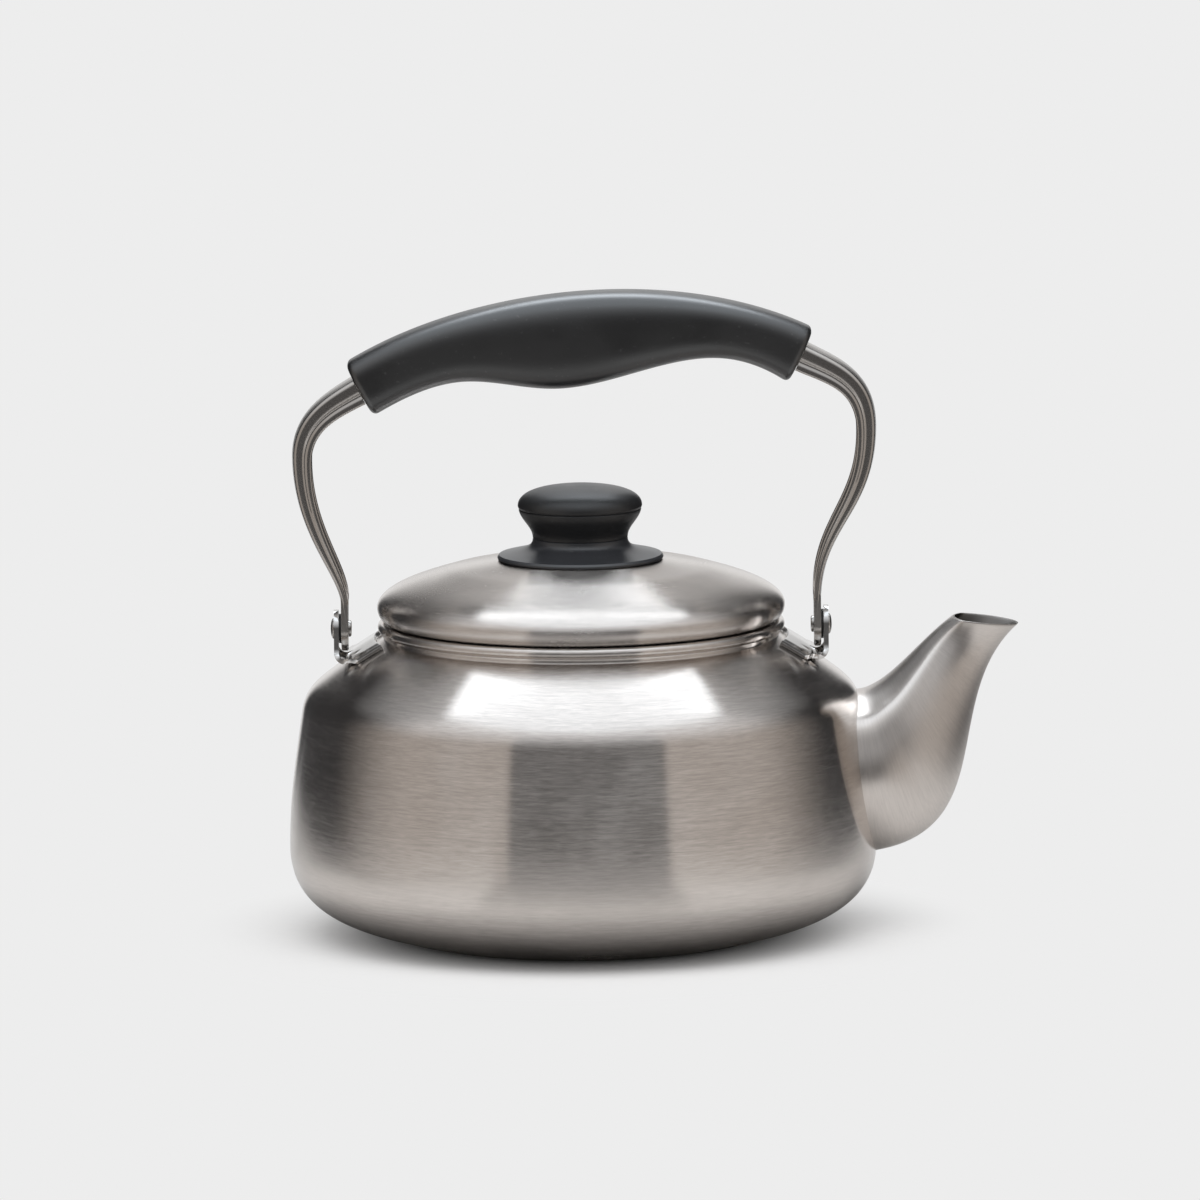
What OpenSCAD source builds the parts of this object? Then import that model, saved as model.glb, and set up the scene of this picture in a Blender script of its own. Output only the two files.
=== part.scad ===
/* [Body shell] */
// Widest diameter of the kettle
body_d = 200.4; // [194:0.2:208]
// Thickness of the body's sheet
body_wall = 1; // [0.8:0.1:1.2]
// Height of the widest point above the base
belly_z = 31; // [28:0.5:34]
// Height of the flat floor's underside above the base
floor_z = 4.8; // [4.2:0.1:5.4]
// Diameter of the flat floor
floor_d = 156; // [150:1:160]
// Diameter where the side turns into the shoulder
shoulder_d = 190.8; // [188:0.2:194]
// Height where the side turns into the shoulder
shoulder_z = 77.8; // [75:0.2:81]
// Diameter where the straight slope of the shoulder starts
slope_d = 177; // [174:0.5:180]
// Height where the straight slope of the shoulder starts
slope_z = 88.3; // [86:0.1:90]
// Angle of the shoulder's slope
slope_angle = 37.5; // [36:0.5:39]

/* [Neck] */
// Outside diameter of the neck
neck_d = 132.2; // [128:0.2:134]
// Distance from the neck to the foot of the slope
neck_foot = 1.6; // [1.2:0.1:2]
// Height of the rolled rim's top above the shoulder
neck_h = 4; // [4:0.1:6]
// Diameter of the rolled rim's bead
bead_d = 3.4; // [2.8:0.1:3.8]

/* [Heat-spreading base] */
// Diameter of the flat face that the kettle stands on
base_d = 120; // [110:1:126]
// Thickness of the base cap's sheet
cap_wall = 0.9; // [0.7:0.1:1.1]
// Gap left round the heat-spreading disc
disc_gap = 0.1; // [0.05:0.05:0.3]

/* [Spout] */
// Height of the spout root's centre
spout_z = 55; // [53:0.5:56.5]
// Diameter of the spout at its root
spout_root_d = 55.2; // [50:0.2:56]
// Thickness of the spout's sheet
spout_wall = 1; // [0.8:0.1:1.4]
// Gap between the spout's root and the body
spout_gap = 0.1; // [0.06:0.01:0.15]
// Width that the body's hole stays inside the spout's wall
spout_ledge = 1; // [0.6:0.1:2]
// Reach of the mouth's front lip from the kettle's axis
lip_x = 149.2; // [145:0.2:154]
// Height of the mouth's front lip above the spout root's centre
lip_rise = 50.2; // [48:0.2:53]
// Length of the mouth from its back to its lip
mouth_len = 22.5; // [20:0.5:25]
// Height of the mouth's back above its front lip
mouth_back_rise = 2.5; // [1:0.5:4]

/* [Lugs] */
// Distance from the kettle's axis to the inner face of a lug's tab
tab_x = 82.5; // [81.5:0.1:83.5]
// Thickness of a lug's tab
tab_t = 1.8; // [1.5:0.1:2]
// Thickness of a lug's foot
foot_t = 1.5; // [1.2:0.1:1.8]
// Width of a lug's foot
foot_w = 37; // [32:1:42]
// Gap between a lug's foot and the shoulder
foot_gap = 0.05; // [0.04:0.01:0.1]
// Distance from the neck to a lug's foot
foot_clear = 4.2; // [3:0.1:6]
// Radius of the tab's round top
tab_r = 6.5; // [6:0.1:7.2]
// Width of the tab where it meets the foot
tab_root_w = 24; // [20:1:28]
// Height of the pivot above the shoulder below the tab
pivot_rise = 12.6; // [12.4:0.1:14]

/* [Pivot rivets] */
// Diameter of a rivet's shank
rivet_d = 4; // [3.6:0.1:4.4]
// Radial running clearance of a stem on its rivet
rivet_play = 0.05; // [0.03:0.01:0.08]
// Radial clearance of a rivet in its lug
rivet_fit = 0.02; // [0.01:0.01:0.03]
// Diameter of a rivet's outer head
rivet_head_d = 7; // [6.4:0.1:8]
// Height of a rivet's outer head
rivet_head_h = 1.1; // [0.8:0.1:1.4]
// Diameter of a rivet's inner head
rivet_end_d = 5.7; // [5.4:0.1:6.4]
// Thickness of a rivet's inner head
rivet_end_h = 1; // [0.8:0.1:1.4]
// Diameter of a friction washer
washer_d = 10; // [9:0.5:12]
// Thickness of a friction washer
washer_t = 0.7; // [0.5:0.1:0.9]
// Gap on each side of a stem's eye
eye_gap = 0.1; // [0.05:0.05:0.15]

/* [Handle stems] */
// Thickness of a stem at its eye
eye_t = 2.4; // [2.2:0.1:2.8]
// Radius of a stem's round end
eye_r = 7.6; // [7:0.1:8]
// Thickness of a stem where it enters the grip
stem_t = 9.6; // [8.5:0.1:10]
// Width of a stem where it enters the grip
stem_w = 17; // [16:0.5:18]
// Thickness of a stem's sheet
stem_wall = 1.5; // [1.2:0.1:1.8]
// Height of the crown of a stem's outer face
stem_crown = 0.7; // [0.4:0.1:0.8]
// Thickness of the tang that holds a stem in the grip
tang_t = 7; // [6:0.5:7.5]
// Width of the tang
tang_w = 13; // [12:0.5:13.5]
// Length of the tang inside the grip
tang_len = 20; // [18:0.5:22]
// Gap round a tang in its socket
tang_gap = 0.15; // [0.1:0.05:0.25]
// Bulge of the left stem from the kettle's axis
left_bulge_x = 94.4; // [92:0.2:98]
// Height of the left stem's bulge above the pivot
left_bulge_rise = 58.2; // [54:0.2:62]
// Bulge of the right stem from the kettle's axis
right_bulge_x = 97.7; // [94:0.2:101]
// Height of the right stem's bulge above the pivot
right_bulge_rise = 67; // [63:0.2:70]

/* [Grip] */
// Distance from the kettle's axis to the grip's left end
left_end_x = 74.5; // [72:0.5:77]
// Height of the grip's left end above the pivot
left_end_rise = 82.3; // [80:0.1:85]
// Lean of the grip's left end face
left_end_tilt = 28; // [24:1:32]
// Distance from the kettle's axis to the grip's right end
right_end_x = 75.5; // [73:0.5:78]
// Height of the grip's right end above the pivot
right_end_rise = 92.4; // [90:0.1:95]
// Lean of the grip's right end face
right_end_tilt = 26; // [22:1:30]
// Height of the grip's end faces
grip_end_h = 20.3; // [19:0.1:22]
// Depth of the grip at its ends
grip_end_w = 20; // [19:0.5:21]
// Depth of the grip at its middle
grip_w = 25; // [22:0.5:26]
// Edge radius of the grip's end faces
grip_edge = 2; // [1:0.2:2.4]
// Arching of the grip's top
grip_arch = 51.2; // [46:0.5:55]
// Diameter of a grip screw's shank
screw_d = 3; // [2.6:0.1:3.4]
// Diameter of a grip screw's head
screw_head_d = 5.6; // [5:0.1:6]
// Height of a grip screw's head
screw_head_h = 2; // [1.6:0.1:2.4]
// Distance from the grip's end face to its screw
screw_inset = 12; // [10:0.5:13]
// Gap round a grip screw
screw_gap = 0.1; // [0.05:0.05:0.2]

/* [Lid] */
// Widest diameter of the lid
lid_d = 139; // [136:0.2:142]
// Thickness of the lid's sheet
lid_wall = 1; // [0.8:0.1:1.2]
// Gap between the lid and the rolled rim
lid_gap = 0.3; // [0.2:0.05:0.5]
// Height from the lid's lowest edge to its widest point
lid_roll_h = 4.3; // [3.5:0.1:5]
// Diameter of the lid's dome
dome_d = 108; // [104:1:112]
// Height from the lid's lowest edge to the dome's edge
dome_edge_h = 14.9; // [14:0.1:16]
// Radius of the dome's sphere
dome_r = 196; // [185:1:210]
// Depth of the locating skirt below the rim
skirt_depth = 10; // [7:0.5:13]
// Clearance between the skirt and the neck
skirt_clear = 0.8; // [0.5:0.1:1.4]
// Thickness of the skirt
skirt_wall = 0.9; // [0.7:0.1:1.2]

/* [Knob] */
// Diameter of the knob's flange
flange_d = 56.6; // [52:0.2:60]
// Thickness of the flange's edge
flange_edge = 0.9; // [0.7:0.1:1.2]
// Height of the knob's base
knob_base_h = 7; // [6.5:0.1:8]
// Diameter of the knob's waist
waist_d = 32.4; // [30:0.2:35]
// Height of the knob's body
knob_body_h = 9.9; // [9:0.1:11]
// Widest diameter of the knob
knob_d = 42.4; // [40:0.2:45]
// Height of the knob's cap
knob_cap_h = 8; // [7:0.1:9]
// Diameter of the cap's spigot
spigot_d = 24; // [20:0.5:26]
// Height of the cap's spigot
spigot_h = 2.4; // [2:0.1:2.8]
// Gap where two knob pieces fit together
knob_gap = 0.05; // [0.03:0.01:0.1]

/* [Knob fixing] */
// Diameter of the knob screw
knob_screw_d = 5; // [4.5:0.1:5.5]
// Gap round the knob screw
knob_screw_gap = 0.3; // [0.2:0.05:0.4]
// Diameter of the knob screw's head
knob_head_d = 9; // [8:0.1:10]
// Height of the knob screw's head
knob_head_h = 3; // [2.5:0.1:3.5]
// Diameter of the washer below the lid
knob_washer_d = 14; // [12:0.5:18]
// Thickness of the washer below the lid
knob_washer_t = 1; // [0.8:0.1:1.4]
// Diameter of the threaded insert
insert_d = 9; // [8:0.1:10]
// Length of the threaded insert
insert_len = 6.6; // [6:0.1:7]

/* [Hidden] */

// Fineness of round pieces and of curves
round_fn = 96;
small_fn = 32;
curve_steps = 8;
// A little more than nothing, for cuts that run past a face
past = 1;

steel = [0.66, 0.65, 0.63];
polished = [0.74, 0.74, 0.73];
black = [0.08, 0.08, 0.085];
brass = [0.72, 0.58, 0.3];
nylon = [0.12, 0.12, 0.12];

function unit(v) = v / norm(v);
function along(a) = [cos(a), sin(a)];
function bezier(p, t) =
    let (u = 1 - t)
    u * u * u * p[0] + 3 * u * u * t * p[1] + 3 * u * t * t * p[2] + t * t * t * p[3];
// Points of a cubic curve, without its first point
function curve(p, steps = curve_steps) = [for (i = [1:steps]) bezier(p, i / steps)];
// A cubic curve from a to b that leaves along angle a_dir and arrives along angle b_dir
function joined(a, a_dir, a_pull, b, b_dir, b_pull) =
    [a, a + a_pull * along(a_dir), b - b_pull * along(b_dir), b];
// Height of a curve through two points with given slopes
function hermite(p, q, x) =
    let (h = q[0] - p[0], s = (x - p[0]) / h)
    p[1] * (1 - 3 * s * s + 2 * s * s * s) + q[1] * (3 * s * s - 2 * s * s * s)
    + h * p[2] * (s - 2 * s * s + s * s * s) + h * q[2] * (s * s * s - s * s);
function edge_normal(a, b) = let (d = unit(b - a)) [-d[1], d[0]];
// The same line moved by d to its left, with sharp corners kept
function inset(p, d) = [
    for (i = [0:len(p) - 1])
        let (
            n = edge_normal(p[max(i - 1, 0)], p[max(i - 1, 0) + 1]),
            m = edge_normal(p[min(i, len(p) - 2)], p[min(i, len(p) - 2) + 1]),
            k = (n + m) / (1 + n * m)
        )
        p[i] + d * k
];
function reversed(p) = [for (i = [len(p) - 1:-1:0]) p[i]];

// A closed skin through rings of equal length. Its two end caps are made of the given convex faces.
module capped_skin(rings, cap) {
    k = len(rings[0]);
    last = len(rings) - 1;
    polyhedron(
        points = [for (ring = rings) for (p = ring) p],
        faces = concat(
            cap,
            [for (i = [0:last - 1]) for (j = [0:k - 1])
                [i * k + j, (i + 1) * k + j, (i + 1) * k + (j + 1) % k]],
            [for (i = [0:last - 1]) for (j = [0:k - 1])
                [i * k + j, (i + 1) * k + (j + 1) % k, i * k + (j + 1) % k]],
            [for (face = cap) [for (j = reversed(face)) last * k + j]]
        )
    );
}

// A skin through rings of equal length that closes on its first ring
module looped_skin(rings) {
    k = len(rings[0]);
    n = len(rings);
    polyhedron(
        points = [for (ring = rings) for (p = ring) p],
        faces = concat(
            [for (i = [0:n - 1]) for (j = [0:k - 1])
                [i * k + j, ((i + 1) % n) * k + j, ((i + 1) % n) * k + (j + 1) % k]],
            [for (i = [0:n - 1]) for (j = [0:k - 1])
                [i * k + j, ((i + 1) % n) * k + (j + 1) % k, i * k + (j + 1) % k]]
        )
    );
}

// Body shell: radius and height of its outer face, from the floor's centre to the neck
foot_edge = [floor_d / 2, floor_z];
belly = [body_d / 2, belly_z];
shoulder = [shoulder_d / 2, shoulder_z];
slope_top = [slope_d / 2, slope_z];
slope_dir = 180 - slope_angle;
side_lean = 98.6;
keel_lean = 18;
// Pulls of the side's curves, from the floor's edge up to the slope
keel_pull = 13.4;
belly_low_pull = 15;
belly_pull = 16;
shoulder_pull = 16;
bend_low_pull = 5;
bend_pull = 4.5;
function slope_height(r) = slope_z + (slope_d / 2 - r) * tan(slope_angle);
neck_r = neck_d / 2;
neck_foot_r = neck_r + neck_foot;
neck_foot_z = slope_height(neck_foot_r);
rim_z = neck_foot_z + neck_h;
bead_r = bead_d / 2;
bead_z = rim_z - bead_r;
wall_line = concat(
    [foot_edge],
    curve(joined(foot_edge, keel_lean, keel_pull, belly, 90, belly_low_pull)),
    curve(joined(belly, 90, belly_pull, shoulder, side_lean, shoulder_pull)),
    curve(joined(shoulder, side_lean, bend_low_pull, slope_top, slope_dir, bend_pull)),
    [[neck_foot_r, neck_foot_z], [neck_r, neck_foot_z + neck_foot / 2], [neck_r, bead_z]]
);
body_line = concat([[0, floor_z]], wall_line);
// Reach of the body's outer face at height z and depth y
function wall_radius(z) = lookup(z, [for (p = wall_line) [p[1], p[0]]]);
function wall_x(z, y) = sqrt(pow(wall_radius(z), 2) - y * y);

module body_shell() {
    hole_r = spout_root_d / 2 - spout_wall - spout_ledge;
    color(steel)
    difference() {
        rotate_extrude($fn = round_fn)
        union() {
            polygon(concat(body_line, reversed(inset(body_line, body_wall))));
            translate([neck_r - body_wall + bead_r, bead_z]) circle(r = bead_r, $fn = small_fn);
        }
        translate([shoulder_d / 4, 0, spout_z])
        rotate([0, 90, 0])
        cylinder(r = hole_r, h = body_d, $fn = round_fn);
    }
}

// Base: a steel cap brazed under the floor, with a heat-spreading disc sealed in it
cap_edge_r = floor_d / 2 - body_wall;
cap_top = floor_z - disc_gap / 2;
cap_lean = 10;
cap_pull = 7;
cap_edge_pull = 5;
cap_steps = 5;
cap_line = concat(
    [[0, 0], [base_d / 2, 0]],
    curve(joined([base_d / 2, 0], cap_lean, cap_pull, [cap_edge_r, cap_top], keel_lean, cap_edge_pull),
        cap_steps)
);

module base_cap() {
    inner = inset(cap_line, cap_wall);
    color(steel)
    rotate_extrude($fn = round_fn)
    intersection() {
        polygon(concat(cap_line, reversed(inner)));
        square([body_d / 2, cap_top]);
    }
}

module base_disc() {
    low = cap_wall + disc_gap;
    rise = cap_top - low;
    low_r = base_d / 2 - disc_gap;
    // The disc's edge leans out a little less than the cap that holds it
    high_r = low_r + (cap_edge_r - base_d / 2) * (rise - cap_wall) / cap_top;
    color("silver")
    rotate_extrude($fn = round_fn)
    polygon([[0, low], [low_r, low], [high_r, cap_top], [0, cap_top]]);
}

// Spout: a horn whose rings turn from upright at its root to level at its mouth
spout_sides = 32;
spout_rings = 16;
root_r = spout_root_d / 2;
root_top = [wall_x(spout_z + root_r, 0), spout_z + root_r];
root_low = [wall_x(spout_z - root_r, 0), spout_z - root_r];
lip = [lip_x, spout_z + lip_rise];
mouth_back = lip + [-mouth_len, mouth_back_rise];
// Directions and pulls of the spout's two edge lines, at the root and at the mouth
back_root_dir = 0;
back_root_pull = 10;
back_mouth_dir = 34;
back_mouth_pull = 14;
front_root_dir = 12;
front_root_pull = 41;
front_mouth_dir = 41;
front_mouth_pull = 38;
spout_back = joined(root_top, back_root_dir, back_root_pull, mouth_back, back_mouth_dir, back_mouth_pull);
spout_front = joined(root_low, front_root_dir, front_root_pull, lip, front_mouth_dir, front_mouth_pull);
function spout_root_ring(r) = [
    for (j = [0:spout_sides - 1])
        let (a = 360 * j / spout_sides, y = r * cos(a), z = spout_z + r * sin(a))
        [wall_x(z, y) + spout_gap, y, z]
];
function spout_ring(t, shrink) =
    let (
        a = bezier(spout_front, t), b = bezier(spout_back, t),
        middle = (a + b) / 2, up = unit(b - a), r = norm(b - a) / 2 - shrink
    )
    [for (j = [0:spout_sides - 1])
        let (s = r * sin(360 * j / spout_sides))
        [middle[0] + up[0] * s, r * cos(360 * j / spout_sides), middle[1] + up[1] * s]];

module spout() {
    color(steel)
    looped_skin(concat(
        [spout_root_ring(root_r)],
        [for (i = [1:spout_rings]) spout_ring(i / spout_rings, 0)],
        [for (i = [spout_rings:-1:1]) spout_ring(i / spout_rings, spout_wall)],
        [spout_root_ring(root_r - spout_wall)]
    ));
}

// Lugs: a foot spot-welded to the shoulder and a tab bent up from it
tab_out = tab_x + tab_t;
pivot_z = slope_height(tab_x) + pivot_rise;
foot_rise = (foot_gap + foot_t) / cos(slope_angle);
foot_low = foot_gap / cos(slope_angle);
// Height and length of the pressed rib in the bend
rib_h = 3;
rib_len = 5;

module lug() {
    color(polished)
    difference() {
        union() {
            intersection() {
                rotate_extrude($fn = round_fn)
                polygon([
                    for (rise = [foot_low, foot_rise]) for (r = [neck_r + foot_clear, slope_d / 2])
                        let (edge = rise == foot_low ? r : neck_r + foot_clear + slope_d / 2 - r)
                        [edge, slope_height(edge) + rise]
                ]);
                translate([0, -foot_w / 2, 0]) cube([tab_out, foot_w, rim_z + pivot_z]);
            }
            tab_plate();
            gusset();
        }
        translate([tab_x - past, 0, pivot_z])
        rotate([0, 90, 0])
        cylinder(r = rivet_d / 2 + rivet_fit, h = tab_t + 2 * past, $fn = small_fn);
    }
}

// Upright tab with a round top round the pivot
module tab_plate() {
    low = slope_height(tab_x) + 2 * foot_low;
    translate([tab_x, 0, 0])
    rotate([90, 0, 90])
    linear_extrude(tab_t)
    union() {
        translate([0, pivot_z]) circle(r = tab_r, $fn = small_fn);
        polygon([
            [-tab_root_w / 2, low], [tab_root_w / 2, low], [tab_r, pivot_z - tab_r], [tab_r, pivot_z],
            [-tab_r, pivot_z], [-tab_r, pivot_z - tab_r]
        ]);
    }
}

// Pressed rib that stiffens the bend between the foot and the tab
module gusset() {
    rib_w = tab_r;
    low = slope_height(tab_x) + foot_low + foot_t / 2;
    translate([0, rib_w / 2, 0])
    rotate([90, 0, 0])
    linear_extrude(rib_w)
    polygon([
        [tab_x + tab_t / 2, low + rib_h / 2], [tab_x + tab_t / 2, low],
        [tab_x - rib_len, slope_height(tab_x - rib_len) + foot_low + foot_t / 2],
        [tab_x, low + rib_h]
    ]);
}

module lug_left() mirror([1, 0, 0]) lug();
module lug_right() lug();

// Pivot: across the tab, the friction washer, the stem's eye and the rivet's formed end
washer_in = tab_x - washer_t;
eye_out = washer_in - eye_gap;
eye_in = eye_out - eye_t;
rivet_in = eye_in - eye_gap;
rivet_chamfer = 0.3;

module rivet() {
    color(polished)
    translate([0, 0, pivot_z])
    rotate([0, 90, 0])
    rotate_extrude($fn = round_fn)
    polygon(concat(
        [[0, rivet_in - rivet_end_h], [rivet_end_d / 2 - rivet_chamfer, rivet_in - rivet_end_h],
         [rivet_end_d / 2, rivet_in - rivet_end_h + rivet_chamfer], [rivet_end_d / 2, rivet_in],
         [rivet_d / 2, rivet_in], [rivet_d / 2, tab_out], [rivet_head_d / 2, tab_out]],
        [for (i = [1:curve_steps])
            let (a = 90 * i / curve_steps)
            [rivet_head_d / 2 * cos(a), tab_out + rivet_head_h * sin(a)]]
    ));
}

module rivet_left() mirror([1, 0, 0]) rivet();
module rivet_right() rivet();

module friction_washer() {
    color(nylon)
    translate([washer_in, 0, pivot_z])
    rotate([0, 90, 0])
    difference() {
        cylinder(d = washer_d, h = washer_t, $fn = round_fn);
        translate([0, 0, -past])
        cylinder(r = rivet_d / 2 + rivet_fit, h = washer_t + 2 * past, $fn = small_fn);
    }
}

module washer_left() mirror([1, 0, 0]) friction_washer();
module washer_right() friction_washer();

// Stems: a channel, open to the inside, that runs from a flat eye to the grip
stem_steps = 9;
eye_x = (eye_in + eye_out) / 2;
eye_plate_h = 11;
stem_lap = 2;
stem_swell = 0.85;
// Thinnest floor of a stem's channel
floor_min = 0.4;
// How much a stem's channel is larger than its eye plate where they meet
eye_step = 0.2;
// Pull of each stem's curve at its foot, at its bulge from below, and at its bulge from above
left_foot_pull = 20;
left_low_pull = 25;
left_high_pull = 13;
right_foot_pull = 35;
right_low_pull = 27.5;
right_high_pull = 17;
grip_pull = 12;
// Length of the tang that shows outside the grip, hidden in the channel
tang_out = 6;
stem_foot = [eye_x, pivot_z + eye_plate_h - stem_lap];
function stem_line(bulge, end_x, end_rise, tilt, foot_pull, low_pull, high_pull) =
    let (
        low = joined(stem_foot, 90, foot_pull - eye_plate_h + stem_lap, bulge, 90, low_pull),
        end = [end_x, pivot_z + end_rise] + tang_gap * along(-tilt)
    )
    concat(
        [for (i = [0:stem_steps]) bezier(low, i / stem_steps)],
        curve(joined(bulge, 90, high_pull, end, 180 - tilt, grip_pull))
    );
function channel(t, w) =
    let (side = t - stem_crown, floor = max(t - stem_wall, floor_min), rim = w / 2 - stem_wall)
    [
        [-w / 2, 0], [-w / 2, side], [-w / 4, t - stem_crown / 4], [0, t], [w / 4, t - stem_crown / 4],
        [w / 2, side], [w / 2, 0], [rim, 0], [rim, floor - stem_crown], [0, floor - stem_crown / 2],
        [-rim, floor - stem_crown], [-rim, 0]
    ];
channel_cap = [[0, 1, 10, 11], [1, 2, 10], [2, 3, 9, 10], [3, 4, 8, 9], [4, 5, 8], [5, 6, 7, 8]];
function stem_ring(line, i) =
    let (
        n = len(line) - 1, s = i / n,
        t = eye_t + (stem_t - eye_t) * pow(s, stem_swell) + eye_step * (1 - s),
        w = 2 * eye_r + (stem_w - 2 * eye_r) * s + eye_step * (1 - s),
        d = unit(line[min(i + 1, n)] - line[max(i - 1, 0)]), out = [d[1], -d[0]]
    )
    [for (p = channel(t, w)) let (q = line[i] + out * (p[1] - t / 2)) [q[0], p[0], q[1]]];

// Everything that is laid out from an end face of the grip is drawn along its own X, into the grip
module at_grip_end(end_x, end_rise, tilt) {
    translate([end_x, 0, pivot_z + end_rise])
    rotate([0, tilt, 0])
    mirror([1, 0, 0])
    children();
}

module stem(line, end_x, end_rise, tilt) {
    color(steel)
    difference() {
        union() {
            capped_skin([for (i = [0:len(line) - 1]) stem_ring(line, i)], channel_cap);
            translate([eye_in, 0, pivot_z])
            rotate([90, 0, 90])
            linear_extrude(eye_t)
            union() {
                circle(r = eye_r, $fn = round_fn);
                translate([-eye_r, 0]) square([2 * eye_r, eye_plate_h]);
            }
            at_grip_end(end_x, end_rise, tilt)
            translate([-tang_out, -tang_w / 2, -tang_t / 2])
            cube([tang_out + tang_len, tang_w, tang_t]);
        }
        translate([eye_in - past, 0, pivot_z])
        rotate([0, 90, 0])
        cylinder(r = rivet_d / 2 + rivet_play, h = eye_t + 2 * past, $fn = small_fn);
        at_grip_end(end_x, end_rise, tilt)
        translate([screw_inset, 0, -tang_t])
        cylinder(r = screw_d / 2 + screw_gap, h = 2 * tang_t, $fn = small_fn);
    }
}

module stem_left() {
    bulge = [left_bulge_x, pivot_z + left_bulge_rise];
    mirror([1, 0, 0])
    stem(
        stem_line(bulge, left_end_x, left_end_rise, left_end_tilt,
            left_foot_pull, left_low_pull, left_high_pull),
        left_end_x, left_end_rise, left_end_tilt
    );
}

module stem_right() {
    bulge = [right_bulge_x, pivot_z + right_bulge_rise];
    stem(
        stem_line(bulge, right_end_x, right_end_rise, right_end_tilt,
            right_foot_pull, right_low_pull, right_high_pull),
        right_end_x, right_end_rise, right_end_tilt
    );
}

// Grip: its top is one arch, and its underside has two finger arches with a hump between
grip_sides = 24;
grip_rings = 26;
grip_boxiness = 0.62;
// Angle by which the top arch leaves the left end steeper than that end leans
arch_lead = 3;
left_face = [-left_end_x, pivot_z + left_end_rise];
right_face = [right_end_x, pivot_z + right_end_rise];
left_up = along(90 + left_end_tilt);
right_up = along(90 - right_end_tilt);
grip_top = joined(left_face + left_up * grip_end_h / 2, left_end_tilt + arch_lead, grip_arch,
    right_face + right_up * grip_end_h / 2, -right_end_tilt, grip_arch);
left_corner = left_face - left_up * grip_end_h / 2;
right_corner = right_face - right_up * grip_end_h / 2;
// Slopes of the underside at the grip's two ends
left_slope = 0.6;
right_slope = -0.7;
// The two finger arches and the hump between them: distance from the axis, and height against the ends
left_arch_x = 37;
left_arch_rise = 2.5;
hump_x = 8.4;
hump_drop = 0.3;
right_arch_x = 45.5;
right_arch_drop = 0.4;
// Position, height and slope of the underside's knots
underside = [
    [left_corner[0], left_corner[1], left_slope],
    [-left_arch_x, left_face[1] + left_arch_rise, 0],
    [-hump_x, left_face[1] - hump_drop, 0],
    [right_arch_x, right_face[1] - right_arch_drop, 0],
    [right_corner[0], right_corner[1], right_slope]
];
function underside_height(x) =
    let (i = x < underside[1][0] ? 0 : x < underside[2][0] ? 1 : x < underside[3][0] ? 2 : 3)
    hermite(underside[i], underside[i + 1], x);
function grip_ring(s, shrink) =
    let (
        x = left_corner[0] + (right_corner[0] - left_corner[0]) * s,
        low = [x, underside_height(x)], high = bezier(grip_top, s),
        middle = (low + high) / 2, up = unit(high - low), h = norm(high - low) / 2 - shrink,
        w = (grip_end_w + (grip_w - grip_end_w) * sin(180 * s)) / 2 - shrink
    )
    [for (j = [0:grip_sides - 1])
        let (
            a = 360 * j / grip_sides, c = cos(a), d = sin(a),
            y = w * sign(c) * pow(abs(c), grip_boxiness), v = h * sign(d) * pow(abs(d), grip_boxiness)
        )
        [middle[0] + up[0] * v, y, middle[1] + up[1] * v]];
// Rounds the edge of an end face over the first and last stretch of the grip
edge_share = grip_edge / (left_end_x + right_end_x);
edge_mid = 1 - cos(45);
grip_stations = concat(
    [[0, grip_edge], [edge_share * edge_mid, grip_edge * edge_mid], [edge_share, 0]],
    [for (i = [1:grip_rings - 1]) [i / grip_rings, 0]],
    [[1 - edge_share, 0], [1 - edge_share * edge_mid, grip_edge * edge_mid], [1, grip_edge]]
);
// Plastic left between a tang's socket and the head of its screw
head_wall = 2;
head_seat = tang_t / 2 + head_wall;
screw_chamfer = 0.5;

// Socket, screw hole and head recess of one end of the grip
module grip_fixing() {
    translate([-past, -tang_w / 2 - tang_gap, -tang_t / 2 - tang_gap])
    cube([tang_len + 2 * tang_gap + past, tang_w + 2 * tang_gap, tang_t + 2 * tang_gap]);
    translate([screw_inset, 0, -grip_end_h])
    cylinder(r = screw_d / 2 + screw_gap, h = grip_end_h + tang_t, $fn = small_fn);
    translate([screw_inset, 0, -grip_end_h])
    cylinder(r = screw_head_d / 2 + screw_gap, h = grip_end_h - head_seat, $fn = small_fn);
}

module grip() {
    color(black)
    difference() {
        capped_skin([for (g = grip_stations) grip_ring(g[0], g[1])], [[for (j = [0:grip_sides - 1]) j]]);
        mirror([1, 0, 0]) at_grip_end(left_end_x, left_end_rise, left_end_tilt) grip_fixing();
        at_grip_end(right_end_x, right_end_rise, right_end_tilt) grip_fixing();
    }
}

module grip_screw() {
    tip = head_seat + screw_head_h + tang_t / 2;
    color(polished)
    translate([screw_inset, 0, -head_seat - screw_head_h])
    rotate_extrude($fn = small_fn)
    polygon([
        [0, 0], [screw_head_d / 2 - screw_chamfer, 0], [screw_head_d / 2, screw_chamfer],
        [screw_head_d / 2, screw_head_h], [screw_d / 2, screw_head_h], [screw_d / 2, tip], [0, tip]
    ]);
}

module grip_screw_left() mirror([1, 0, 0]) at_grip_end(left_end_x, left_end_rise, left_end_tilt) grip_screw();
module grip_screw_right() at_grip_end(right_end_x, right_end_rise, right_end_tilt) grip_screw();

// Lid: a shallow dome with a flat seat for the knob, and an edge that curls under
lid_low = rim_z + lid_gap;
lid_r = lid_d / 2;
// Depth of the curl, and the way its edge turns out at the foot
curl_in = 2;
curl_turn_out = 1.1;
curl_turn_up = 0.8;
// Pulls of the lid's side: below its widest point, above it, and at the dome
curl_pull = 2;
side_pull = 4.5;
dome_pull = 8;
curl_steps = 5;
dome_steps = 6;
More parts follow.
